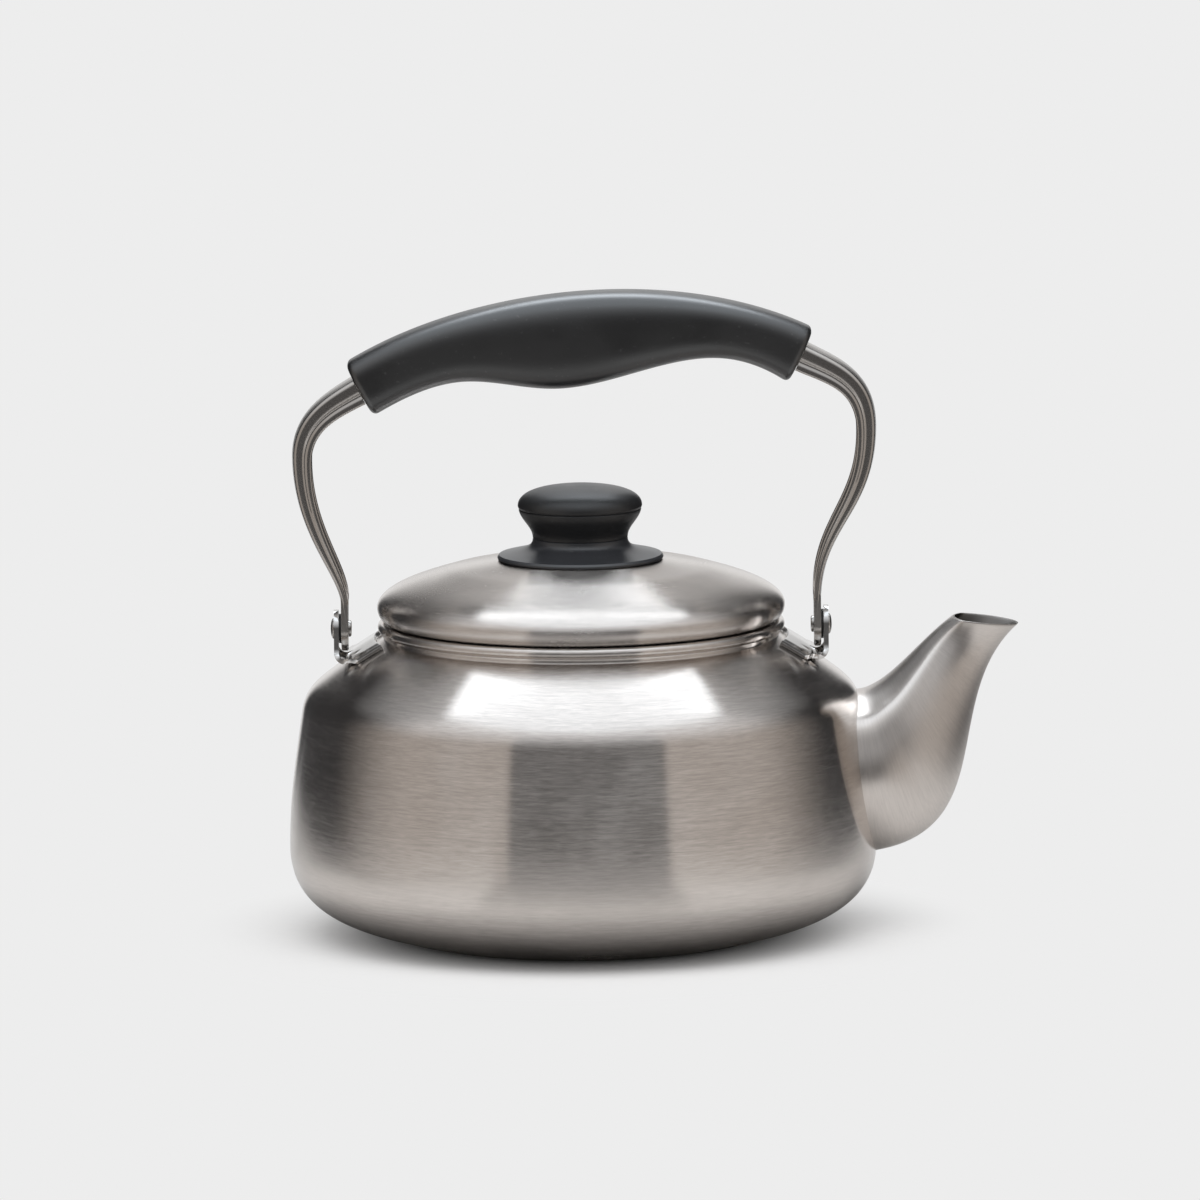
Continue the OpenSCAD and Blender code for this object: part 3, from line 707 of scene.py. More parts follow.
class Coat(Enum):
    """Every finish of the kettle."""

    BODY = Metal("body_steel", STEEL, 0.17, 1.0, around=20, across=2400, tone_spread=0.13)
    # The spout's inside, past inside_from, carries painted shade.
    SPOUT = Metal("spout_steel", STEEL, 0.34, 0.4, around=5, across=2600, tone_spread=0.08,
                  line_depth=0.000002, inside_from=0.0706)
    LID = Metal("lid_steel", STEEL, 0.22, 1.0, around=15, across=2400, tone_spread=0.1)
    BASE = Metal("base_steel", (0.58, 0.55, 0.52), 0.24, 0.9, around=15, across=3000)
    STEM = Metal("stem_steel", (0.49, 0.462, 0.436), 0.22, around=7, across=9,
                 tone_spread=0.05, line_depth=0.000001, rough_spread=0.02)
    BRIGHT = Metal("bright_steel", (0.66, 0.645, 0.63), 0.12, **PRESSED)
    RIVET = Metal("rivet_steel", (0.44, 0.42, 0.4), 0.2, **PRESSED)
    ALUMINIUM = Metal("disc_aluminium", (0.78, 0.78, 0.79), 0.35, across=900, **UNMAPPED)
    BRASS = Metal("insert_brass", (0.78, 0.6, 0.31), 0.28, across=900, **UNMAPPED)
    GRIP = Plastic("grip_plastic", (0.003, 0.003, 0.0033), 0.32, specular=1.0, ior=1.58)
    KNOB = Plastic("knob_plastic", (0.009, 0.009, 0.0095), 0.36, specular=0.6, **FINE_GRAIN)
    FLANGE = Plastic("flange_plastic", (0.02, 0.021, 0.024), 0.33, specular=0.8, **FINE_GRAIN)
    NYLON = Plastic("washer_nylon", (0.03, 0.029, 0.028), 0.5)


class Finishes:
    """The materials of every finish."""

    def __init__(self, effects: Effects) -> None:
        """Makes the materials from the shared effects."""
        self.made = {coat: coat.value.material(effects) for coat in Coat}

    def fit(self, piece: Piece, body: Body, slot: Slot, coat: Coat, *nodes: str) -> None:
        """Puts a finished piece on its body.

        Args:
            piece: The piece.
            body: Body that it moves with.
            slot: Record slot that it would take its finish from; not used.
            coat: Its finish.
            *nodes: CAD nodes that it stands for.
        """
        piece.data.materials.clear()
        piece.data.materials.append(self.made[coat])
        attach(piece, body.value)
        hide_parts(*nodes)
        LOG.info("%s rides on %s and has %d faces", piece.name, body.value,
                 len(piece.data.polygons))

    def dress(self, name: str, coat: Coat) -> None:
        """Gives a CAD node that stays in view its material.

        Args:
            name: Name of the node.
            coat: Its finish.
        """
        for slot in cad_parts[name].material_slots:
            slot.material = self.made[coat]
        LOG.info("%s keeps its CAD shape with %s", name, self.made[coat].name)


# Sub-assemblies


@dataclass
class Assembly:
    """A sub-assembly that is built with the shared finishes."""

    finishes: Finishes


@dataclass
class KettleBody(Assembly):
    """The spun shell with its rolled rim, and the cap under its floor."""

    wall: float = 1.0
    floor_r: float = 78.0
    floor_z: float = 4.8
    belly: Pair = (100.16, 31.0)
    shoulder: Pair = (95.4, 77.8)
    slope_top: Pair = (88.5, 88.3)
    slope_angle: float = 37.5
    slope_pulls: Pair = (8.0, 8.0)
    crease_angle: float = 28.5
    side_lean: float = 98.6
    keel_lean: float = 18.0
    keel_pulls: Pair = (13.4, 15.0)
    side_pulls: Pair = (16.0, 16.0)
    bend_pulls: Pair = (5.0, 4.5)
    neck_r: float = 66.1
    crease: Pair = (67.7, 102.2)
    crease_steps: Tuple[Pair, ...] = ((-0.35, 0.3), (-0.5, 0.7), (-0.5, 1.9))
    bead_r: float = 1.9
    bead_centre: Pair = (67.5, 106.05)
    hole_r: float = 25.6
    hole_z: float = 55.0
    dent_depth: float = 0.15
    dent_reach: float = 8.0
    cap_r: float = 60.0
    cap_wall: float = 0.9
    cap_lean: float = 10.0
    cap_pulls: Pair = (7.0, 5.0)

    def slope_line(self) -> Array:
        """Slightly hollow slope from the shoulder in to the crease under the bead."""
        return curve(self.slope_top, 180 - self.slope_angle, self.crease,
                     180 - self.crease_angle, self.slope_pulls, shares_of(15))

    def slope_height(self, r: float) -> float:
        """Height of the shoulder's slope at radius r."""
        line = self.slope_line()[::-1]
        return float(np.interp(r, line[:, 0], line[:, 1]))

    def side_line(self) -> Array:
        """Outer face from the floor's edge up to the end of the slope.

        Returns:
            Rows of radius and height.
        """
        floor_edge, lean = (self.floor_r, self.floor_z), self.side_lean
        return np.concatenate([
            [floor_edge],
            curve(floor_edge, self.keel_lean, self.belly, 90, self.keel_pulls, steps_of(26)),
            curve(self.belly, 90, self.shoulder, lean, self.side_pulls, steps_of(26)),
            curve(self.shoulder, lean, self.slope_top, 180 - self.slope_angle,
                  self.bend_pulls, steps_of(16)),
            self.slope_line()[1:],
        ])

    def wall_x(self, z: Array, y: Array) -> Array:
        """Reach of the outer face towards the spout at height z, below the slope, and depth y."""
        side = self.side_line()
        return np.sqrt(np.interp(z, side[:, 1], side[:, 0]) ** 2 - y * y)

    def dent(self, y: Array, z: Array) -> Array:
        """How far the wall is drawn in round the spout's seam."""
        reach = np.hypot(y, z - self.hole_z) - self.hole_r
        return self.dent_depth * (1 - ease(reach / self.dent_reach))

    def dented(self, rings: Array) -> Array:
        """The shell's rings with the dent round the seam.

        Args:
            rings: Rings of the shell.

        Returns:
            The moved rings.
        """
        x, y, z = rings[..., 0], rings[..., 1], rings[..., 2]
        depth = np.where((x > self.floor_r) & (z > self.floor_z), self.dent(y, z), 0)
        lean = math.radians(self.side_lean - 90)
        flat = np.stack([-depth * math.cos(lean), 0 * depth, -depth * math.sin(lean)], axis=-1)
        return rings + flat

    def shell_profile(self) -> Array:
        """Whole section of the shell, from the floor's centre out, up and back inside.

        Returns:
            Rows of radius and height.
        """
        side, low = self.side_line(), self.floor_z
        bore, bead_z = self.neck_r - self.wall, self.bead_centre[1]
        inner = inset(side, self.wall)
        inner = inner[inner[:, 0] > bore + 0.6]
        return np.concatenate([
            [(0.0, low)], straight((0, low), (self.floor_r, low), 8)[:-1], side,
            [np.array(self.crease) + step for step in self.crease_steps],
            arc(self.bead_centre, self.bead_r, -98, 172, 28),
            [(bore, bead_z - 1.4), (bore, bead_z - 3)], inner[::-1],
            straight((self.floor_r - 1.5, low + self.wall), (0, low + self.wall), 8),
        ])

    def cap_profile(self) -> Array:
        """Section of the base cap.

        Returns:
            Rows of radius and height.
        """
        edge = (self.floor_r - self.wall, self.floor_z - 0.05)
        rise = curve((self.cap_r, 0), self.cap_lean, edge, self.keel_lean, self.cap_pulls,
                     steps_of(14))
        line = np.concatenate([[(0.0, 0.0)], straight((0, 0), (self.cap_r - 0.8, 0), 10),
                               [(self.cap_r - 0.3, 0.0), (self.cap_r + 0.2, 0.06)], rise[1:]])
        inner = inset(line, self.cap_wall)[::-1]
        inner = inner[inner[:, 0] < edge[0] - 0.8]
        return np.concatenate([line, inner, [(0.0, self.cap_wall)]])

    def build(self) -> None:
        """Makes the shell, cut for the spout, and the cap."""
        shell = turned("body_shell_skin", self.shell_profile(), around=256, lay=self.dented)
        combined(shell, drill((80, 0, self.hole_z), (1, 0, 0), self.hole_r, 60, 128))
        self.finishes.fit(shell, Body.KETTLE, Slot.BRUSHED, Coat.BODY, "body_shell")
        cap = turned("base_cap_skin", self.cap_profile(), around=192)
        self.finishes.fit(cap, Body.KETTLE, Slot.BRUSHED, Coat.BASE, "base_cap")


@dataclass
class Spout(Assembly):
    """The horn that starts on the body's side and turns up to its mouth."""

    body: KettleBody
    centre_z: float = 55.0
    root_r: float = 27.6
    wall: float = 0.8
    gap: float = -0.05
    lip: Pair = (149.2, 105.2)
    lip_angle: float = 41.0
    mouth_back: Pair = (126.7, 107.7)
    mouth_angle: float = 34.0
    front_pulls: Pair = (44.0, 37.0)
    back_pulls: Pair = (10.0, 14.0)
    root_lean: float = 9.0
    blend: float = 0.1
    grown_at: float = 0.25
    flatness: float = 0.1
    ridge: float = 0.065
    ridge_angle: float = 49.0
    ridge_width: float = 13.0
    slimming: float = 0.08
    egg: float = 0.12
    rim_from: float = 0.985
    rim_drop: float = 0.6
    sides: int = 112

    def front_and_back(self, t: float) -> Tuple[Array, Array]:
        """Points of the horn's front and back line at a share of the way from root to mouth.

        Args:
            t: Share of the way from root to mouth.

        Returns:
            Two points of x and z.
        """
        low, top = ((float(self.body.wall_x(z, 0)), z)
                    for z in (self.centre_z - self.root_r, self.centre_z + self.root_r))
        at = np.array([t])
        return (curve(low, self.root_lean, self.lip, self.lip_angle, self.front_pulls, at)[0],
                curve(top, 0, self.mouth_back, self.mouth_angle, self.back_pulls, at)[0])

    def swell(self, rise: Array) -> Array:
        """How much wider a ring is along its two ridges, from each point's rise."""
        off_ridge = np.degrees(np.arccos(np.clip(rise, -1, 1))) - self.ridge_angle
        return 1 + self.ridge * np.exp(-(off_ridge / self.ridge_width) ** 2)

    def root_ring(self, shrink: float) -> Array:
        """Ring that lies on the body's side.

        Args:
            shrink: Distance that the ring lies inside the outer face.

        Returns:
            Points of the ring.
        """
        c, d = circle(self.sides, -math.pi / 2)
        r = (self.root_r - shrink) * self.swell(d)
        y, z = r * c, self.centre_z + r * d
        return np.stack([self.body.wall_x(z, y) + self.gap - self.body.dent(y, z), y, z], axis=1)

    def free_ring(self, t: float, shrink: float) -> Array:
        """Ring between the front and the back line.

        Args:
            t: Share of the way from root to mouth.
            shrink: Distance that the ring lies inside the outer face.

        Returns:
            Points of the ring.
        """
        front, back = self.front_and_back(t)
        length = np.linalg.norm(back - front)
        up, middle = (back - front) / length, (front + back) / 2
        c, d = circle(self.sides, -math.pi / 2)
        grown = float(ease(t / self.grown_at))
        power = np.where(d > 0, 1 - self.flatness * grown, 1.0)
        r = (length / 2 - shrink) * self.swell(d)
        s = r * squared(d, power)
        width = r * (1 - self.slimming * grown) * (1 + self.egg * grown * d)
        return np.stack([middle[0] + up[0] * s, width * squared(c, power),
                         middle[1] + up[1] * s], axis=1)

    def ring(self, t: float, shrink: float) -> Array:
        """Ring at a share of the way, which settles onto the body's side near the root.

        Args:
            t: Share of the way from root to mouth.
            shrink: Distance that the ring lies inside the outer face.

        Returns:
            Points of the ring.
        """
        points = self.free_ring(t, shrink)
        if t < self.blend:
            share = (1 - t / self.blend) ** 2
            points += (self.root_ring(shrink) - self.free_ring(0.0, shrink)) * share
        return points

    def build(self) -> None:
        """Makes the horn with its rounded rim."""
        outward = np.concatenate([np.linspace(0, self.blend, 9)[:-1],
                                  np.linspace(self.blend, self.rim_from, 58)])
        rings = [self.ring(t, 0) for t in outward]
        half = self.wall / 2
        top, before = self.ring(1.0, half), self.ring(self.rim_from, half)
        for angle in np.radians(np.linspace(10, 170, 7)):
            drop = (before - top) * (1 - math.sin(angle)) * self.rim_drop
            rings.append(self.ring(1.0, half - half * math.cos(angle)) + drop)
        rings += [self.ring(t, self.wall) for t in np.linspace(self.rim_from, 0, 40)]
        horn = skin("spout_horn", np.array(rings), looped=True)
        self.finishes.fit(horn, Body.KETTLE, Slot.BRUSHED, Coat.SPOUT, "spout")


@dataclass
class Pivots:
    """Places that the lugs, rivets and stems share."""

    body: KettleBody
    z: float = 105.5
    tab_in: float = 82.5
    tab_t: float = 1.8
    washer_t: float = 0.7
    eye_gap: float = 0.1
    eye_t: float = 2.4
    rivet_r: float = 2.0

    @property
    def eye_out(self) -> float:
        """Outer face of a stem's eye."""
        return self.tab_in - self.washer_t - self.eye_gap

    @property
    def eye_in(self) -> float:
        """Inner face of a stem's eye."""
        return self.eye_out - self.eye_t

    def bore(self, x: float, play: float, length: float) -> Piece:
        """Bar that cuts a rivet's hole, wider than the rivet by play all round."""
        return drill((x, 0, self.z), (1, 0, 0), self.rivet_r + play, length)


@dataclass
class Lug(Assembly):
    """A sheet lug: its foot is spot-welded to the shoulder, its tab stands up to the pivot."""

    pivots: Pivots
    side: Side
    sheet: float = 1.65
    foot_gap: float = 0.05
    foot_half: float = 18.5
    bend_halves: Pair = (8.2, 12.8)
    flare: float = 5.0
    flare_run: float = 14.0
    settle: float = 0.3
    roof: float = 0.066
    roof_round: float = 3.0
    edge_from: float = 14.0
    edge_drop: float = 0.35
    neck_clear_r: float = 70.3
    tab_r: float = 6.5
    round_rows: float = 0.55
    tab_foot: float = 2.03
    bend_r: float = 2.4
    rib: float = 0.9
    rib_half: float = 3.3
    dimple: Pair = (76.0, 9.0)
    dimple_reach: Pair = (2.2, 3.0)
    dimple_depth: float = 0.13
    columns: int = 60

    def half_width(self, row: float, z: float) -> float:
        """Half of the sheet's width along its run.

        Args:
            row: Place along the run: 0 to 1 on the tab, to 2 round the bend, to 3 on the foot.
            z: Height on the tab.

        Returns:
            Half of the width.
        """
        low, high = self.bend_halves
        if row <= 1:
            top = math.sqrt(max(self.tab_r**2 - max(z - self.pivots.z, 0) ** 2, 0))
            return top + ease((self.pivots.z - 5 - z) / self.flare_run) * self.flare
        if row <= 2:
            return low + (high - low) * ease(row - 1)
        return high + (self.foot_half - high) * ease((row - 2) / self.settle)

    def point(self, row: float, share: float) -> Triple:
        """Point of the sheet's middle face on the right side.

        Args:
            row: Place along the run, from 0 to 3.
            share: Place across the sheet, from -1 to 1.

        Returns:
            The point.
        """
        body, pivot_z = self.pivots.body, self.pivots.z
        lean = math.radians(body.slope_angle)
        lift = (self.foot_gap + self.sheet / 2) / math.cos(lean)
        x_tab = self.pivots.tab_in + self.pivots.tab_t / 2
        base = body.slope_height(x_tab) + lift
        top, tab_low = pivot_z + self.tab_r, base + self.tab_foot * self.bend_r
        z = tab_low
        if row <= self.round_rows:
            # Rows are close together round the top, so that its outline is smooth
            z = pivot_z + self.tab_r * math.cos(math.radians(90 * (row / self.round_rows)))
        elif row <= 1:
            share_down = (row - self.round_rows) / (1 - self.round_rows)
            z = pivot_z + (tab_low - pivot_z) * share_down
        y = share * float(self.half_width(row, z))
        radius = self.bend_r + self.rib * float(1 - ease(abs(y) / self.rib_half))
        centre_x = x_tab - radius
        centre_z = base + radius * (1 + math.sin(lean)) / math.cos(lean)
        if row <= self.round_rows:
            return x_tab, y, z
        if row <= 1:
            # The tab ends where the bend starts, which is higher at the rib
            return x_tab, y, top + (z - top) * (top - centre_z) / (top - tab_low)
        if row <= 2:
            turn = -(row - 1) * (math.pi / 2 + lean)
            return centre_x + radius * math.cos(turn), y, centre_z + radius * math.sin(turn)
        start = centre_x - radius * math.sin(lean)
        end = math.sqrt(self.neck_clear_r**2 - y * y)
        x = start + (end - start) * (row - 2)
        return x, y, body.slope_height(x) + lift - self.sunk(x, y, row)

    def sunk(self, x: float, y: float, row: float) -> float:
        """How far the foot lies below a straight plate: its edges turn down, its welds dip.

        Args:
            x: Reach of the point.
            y: Its depth.
            row: Its place along the run.

        Returns:
            The depth in millimetres.
        """
        edge = float(ease((abs(y) - self.edge_from) / (self.foot_half - self.edge_from)))
        droop = self.roof * (math.hypot(y, self.roof_round) - self.roof_round)
        droop = (droop + self.edge_drop * edge) * float(ease((row - 2) / self.settle))
        reach = math.hypot((x - self.dimple[0]) / self.dimple_reach[0],
                           (abs(y) - self.dimple[1]) / self.dimple_reach[1])
        return droop + self.dimple_depth * float(1 - ease(reach))

    def build(self) -> None:
        """Makes the lug with its bore."""
        rows = np.concatenate([np.linspace(0, self.round_rows, 14),
                               np.linspace(self.round_rows, 1, 8)[1:],
                               1 + steps_of(12), 2 + steps_of(33)])
        shares = np.linspace(-1, 1, self.columns)
        rings = np.array([[self.point(r, s) for s in shares] for r in rows])
        rings[:, :, 0] *= self.side.value
        lug = skin(f"lug_plate_{self.side.word}", rings, closed=False)
        thick = lug.modifiers.new("sheet", "SOLIDIFY")
        thick.thickness = self.sheet * MM
        thick.offset = 0
        edge = lug.modifiers.new("edge", "BEVEL")
        edge.width = 0.28 * MM
        edge.segments = 2
        edge.angle_limit = math.radians(50)
        baked_modifiers(lug)
        x = self.side.value * (self.pivots.tab_in + self.pivots.tab_t / 2)
        combined(lug, self.pivots.bore(x, 0.02, 8))
        self.finishes.fit(lug, Body.KETTLE, Slot.POLISHED, Coat.BRIGHT, f"lug_{self.side.word}")
        self.build_rivet()

    def build_rivet(self) -> None:
        """Makes the rivet: a low domed head outside and a pressed end inside."""
        p = self.pivots
        end, out = p.eye_in - p.eye_gap, p.tab_in + p.tab_t
        pressed = [(2.3, 0.93), (2.7, 0.72), (2.85, 0.4), (2.85, 0)]
        dome = [(3.5 * math.cos(a), out + 0.15 + 0.95 * math.sin(a))
                for a in np.linspace(0, math.pi / 2, 12)]
        profile = np.array([
            (0, end - 1), (1.6, end - 1), *[(r, end - depth) for r, depth in pressed],
            (p.rivet_r, end), (p.rivet_r, out), (3.45, out), (3.5, out + 0.06), *dome,
        ])

        def lay(rings: Array) -> Array:
            """Turns the rivet's axis to the pivot's."""
            x, y, z = rings[..., 0], rings[..., 1], rings[..., 2]
            return np.stack([self.side.value * z, x, p.z + y], axis=-1)

        rivet = turned(f"pivot_rivet_{self.side.word}", profile, around=64, lay=lay)
        self.finishes.fit(rivet, Body.KETTLE, Slot.POLISHED, Coat.RIVET, f"rivet_{self.side.word}")


@dataclass
class Stem(Assembly):
    """A pressed channel that runs from its eye on the pivot up into the grip."""

    pivots: Pivots
    side: Side
    bulge: Pair
    pulls: Triple
    end: Pair
    tilt: float
    end_pull: float = 12.0
    tuck: float = 0.15
    thick_low: float = 2.4
    thick_high: float = 9.6
    thick_power: float = 0.85
    width_low: float = 15.2
    width_high: float = 17.0
    sheet: float = 1.5
    crown: float = 0.7
    step: float = 0.2
    foot_rise: float = 9.0
    eye_rise: float = 11.0
    growth: Pair = (9.0, 8.0)
    groove: Tuple[Pair, ...] = ((0.1, 0), (0.26, 0), (0.38, 0.02), (0.46, 0.2), (0.53, 0.5),
                                (0.60, 0.64), (0.67, 0.5), (0.75, 0.15), (0.83, 0), (0.92, 0))

    def station_line(self) -> Tuple[Array, Array]:
        """Middle line of the channel and each station's share of its growth.

        Returns:
            Points of x and z, and shares from 0 to 1.
        """
        pz = self.pivots.z
        foot = ((self.pivots.eye_in + self.pivots.eye_out) / 2, pz + self.foot_rise)
        bulge = (self.bulge[0], pz + self.bulge[1])
        end = np.array([self.end[0], pz + self.end[1]]) + self.tuck * heading(-self.tilt)
        low, high = shares_of(41), steps_of(36)
        foot_pull, below_pull, above_pull = self.pulls
        line = np.concatenate([
            curve(foot, 90, bulge, 90, (foot_pull - self.foot_rise, below_pull), low),
            curve(bulge, 90, end, 180 - self.tilt, (above_pull, self.end_pull), high),
        ])
        below, above = self.growth
        return line, np.concatenate([low * below, below + high * above]) / (below + above)

    def section(self, t: float, w: float) -> Array:
        """Outline of the channel.

        Args:
            t: Its thickness.
            w: Its width.

        Returns:
            Rows of the way across and the way out, closed, for both halves.
        """
        k = min(t / self.thick_high, 1.0)
        corner = 0.35 + 1.45 * k
        flat = w / 2 - corner

        def crown(y: float) -> float:
            """Outer face at y."""
            return t / 2 - self.crown * (y / (w / 2)) ** 2

        half = [(flat * q, crown(flat * q)) for q in (0.0, 0.2, 0.4, 0.6, 0.8, 1.0)]
        top = crown(flat) - corner
        half += [tuple(p) for p in arc((flat, top), corner, 80, 0, 7)]
        rim = self.sheet / 2
        low = -t / 2 + rim
        half += [(w / 2 - depth * k, top + (low - top) * q) for q, depth in self.groove]
        half += [tuple(p) for p in arc((w / 2 - rim, low), rim, 0, -180, 8)]
        inner = w / 2 - self.sheet
        floor = -t / 2 + max(t - self.sheet, 0.4)
        deep = floor - self.crown
        soft = min(0.9, (deep + t / 2) * 0.6)
        half += [(inner, deep - soft), (inner - soft * 0.3, deep - soft * 0.3),
                 (inner - soft, deep)]
        half += [(inner * q, floor - self.crown * (0.5 + 0.5 * q)) for q in (0.6, 0.3, 0.0)]
        return np.array(half + [(-y, n) for y, n in half[1:-1]][::-1])

    def ring(self, point: Array, run: Array, share: float) -> Array:
        """One ring of the channel at a station.

        Args:
            point: Middle of the station.
            run: Direction of the channel there.
            share: Share of its growth.

        Returns:
            Points of the ring.
        """
        grow, spread = self.thick_high - self.thick_low, self.width_high - self.width_low
        extra = self.step * (1 - share)
        section = self.section(self.thick_low + grow * share**self.thick_power + extra,
                               self.width_low + spread * share + extra)
        x = point[0] + run[1] * section[:, 1]
        z = point[1] - run[0] * section[:, 1]
        return np.stack([self.side.value * x, section[:, 0], z], axis=1)

    def eye_plate(self) -> Piece:
        """Flat plate with a round end that turns on the rivet.

        Returns:
            The plate.
        """
        r, pz = self.width_low / 2, self.pivots.z
        outline = [(r * math.cos(a), pz + r * math.sin(a))
                   for a in np.radians(np.linspace(180, 360, 49))]
        outline += [(r, pz + self.eye_rise), (-r, pz + self.eye_rise)]
        plate = bmesh.new()
        x = self.side.value * self.pivots.eye_in * MM
        face = plate.faces.new([plate.verts.new((x, y * MM, z * MM)) for y, z in outline])
        grown = bmesh.ops.extrude_face_region(plate, geom=[face])
        moved = [v for v in grown["geom"] if isinstance(v, bmesh.types.BMVert)]
        out = (self.side.value * self.pivots.eye_t * MM, 0, 0)
        bmesh.ops.translate(plate, verts=moved, vec=out)
        bmesh.ops.recalc_face_normals(plate, faces=plate.faces)
        rims = [e for e in plate.edges if abs(e.verts[0].co.x - e.verts[1].co.x) < 1e-7]
        bmesh.ops.bevel(plate, geom=rims, offset=0.3 * MM, segments=2, affect="EDGES")
        return tool_from("eye", plate)

    def build(self) -> None:
        """Makes the stem with its eye."""
        line, shares = self.station_line()
        run = np.gradient(line, axis=0)
        run /= np.linalg.norm(run, axis=1, keepdims=True)
        rings = np.array([self.ring(p, d, s) for p, d, s in zip(line, run, shares)])
        stem = skin(f"bail_stem_{self.side.word}", rings, sharp=STEM_SHARP)
        capped(stem)
        smoothed(stem.data, STEM_SHARP)
        combined(stem, self.eye_plate(), "UNION", STEM_SHARP)
        x = self.side.value * self.pivots.eye_in
        combined(stem, self.pivots.bore(x, 0.05, 12), sharp=STEM_SHARP)
        self.finishes.fit(stem, Body.BAIL, Slot.BRUSHED, Coat.STEM, f"stem_{self.side.word}")


@dataclass
class Grip(Assembly):
    """The moulded grip: one arch on top and two finger arches below."""

    pivots: Pivots
    left: Pair = (-74.5, 82.3)
    right: Pair = (75.5, 92.4)
    left_tilt: float = 28.0
    right_tilt: float = 26.0
    end_h: float = 20.3
    end_w: float = 20.0
    middle_w: float = 25.0
    edge: float = 2.0
    boxiness: float = 0.62
    pulls: Pair = (51.2, 51.2)
    lead: float = 3.0
    tuck: float = 0.01
    well_in: float = 12.0
    well_down: float = 5.5
    well_r: float = 2.9
    well_h: float = 14.0
    sides: int = 96

    def ends(self) -> Tuple[Array, ...]:
        """Corners of the two end faces: left top, left low, right top, right low.

        Returns:
            Four points of x and z.
        """
        pz, half = self.pivots.z, self.end_h / 2
        left, right = np.array(self.left) + (0, pz), np.array(self.right) + (0, pz)
        lu, ru = heading(90 + self.left_tilt), heading(90 - self.right_tilt)
        return left + lu * half, left - lu * half, right + ru * half, right - ru * half

    def underside(self, x: float) -> float:
        """Height of the underside at x.

        Args:
            x: Place along the grip.

        Returns:
            Its height.
        """
        left, right = self.pivots.z + self.left[1], self.pivots.z + self.right[1]
        _, left_low, _, right_low = self.ends()
        # Each knot has its place, its height and its slope
        knots = [(*left_low, 0.6), (-37, left + 2.5, 0), (-8.4, left - 0.3, 0),
                 (45.5, right - 0.4, 0), (*right_low, -0.7)]
        index = sum(x >= knot[0] for knot in knots[1:4])
        p, q = knots[index], knots[index + 1]
        h = q[0] - p[0]
        s = (x - p[0]) / h
        return (p[1] * (1 - 3 * s * s + 2 * s**3) + q[1] * (3 * s * s - 2 * s**3)
                + h * p[2] * (s - 2 * s * s + s**3) + h * q[2] * (s**3 - s * s))

    def ring(self, s: float, shrink: float) -> Array:
        """Ring of the grip.

        Args:
            s: Share of the way from the left end to the right end.
            shrink: Distance that the ring lies inside the grip's skin.

        Returns:
            Points of the ring.
        """
        left_top, left_low, right_top, right_low = self.ends()
        x = left_low[0] + (right_low[0] - left_low[0]) * s
        low = np.array([x, self.underside(x)])
        top = curve(left_top, self.left_tilt + self.lead, right_top, -self.right_tilt,
                    self.pulls, np.array([s]))[0]
        up = (top - low) / np.linalg.norm(top - low)
        h = np.linalg.norm(top - low) / 2 - shrink
        w = (self.end_w + (self.middle_w - self.end_w) * math.sin(math.pi * s)) / 2 - shrink
        c, d = circle(self.sides)
        v = h * squared(d, self.boxiness)
        middle = (low + top) / 2
        return np.stack([middle[0] + up[0] * v, w * squared(c, self.boxiness),
                         middle[1] + up[1] * v], axis=1)

    def build(self) -> None:
        """Makes the grip with rounded ends and its two screw wells."""
        edge = self.edge / (self.right[0] - self.left[0])
        ends = [(edge - edge * math.cos(a), self.edge - self.edge * math.sin(a) + self.tuck)
                for a in np.radians(np.linspace(0, 90, 7))]
        middle = [(s, self.tuck) for s in np.linspace(edge, 1 - edge, 120)[1:-1]]
        stations = ends + middle + [(1 - s, d) for s, d in ends[::-1]]
        rings = [self.ring(s, d) for s, d in stations]
        first, last = ([ring.mean(axis=0) + (ring - ring.mean(axis=0)) * k for k in (0, 0.5)]
                       for ring in (rings[0], rings[-1]))
        grip = skin("bail_grip", np.array(first + rings + last[::-1]))
        for side in Side:
            combined(grip, self.well(side))
        self.finishes.fit(grip, Body.BAIL, Slot.PLASTIC, Coat.GRIP, "grip")

    def well(self, side: Side) -> Piece:
        """Bar that cuts the well of the screw near one end.

        Args:
            side: End of the grip.

        Returns:
            The bar.
        """
        face, inward = self.left, heading(self.left_tilt)
        if side is Side.RIGHT:
            face, inward = self.right, heading(180 - self.right_tilt)
        down = -side.value * np.array([inward[1], -inward[0]])
        seat = np.array(face) + (0, self.pivots.z) + inward * self.well_in + down * self.well_down
        x, z = seat + down * self.well_h / 2
        return drill((x, 0, z), (down[0], 0, down[1]), self.well_r, self.well_h)


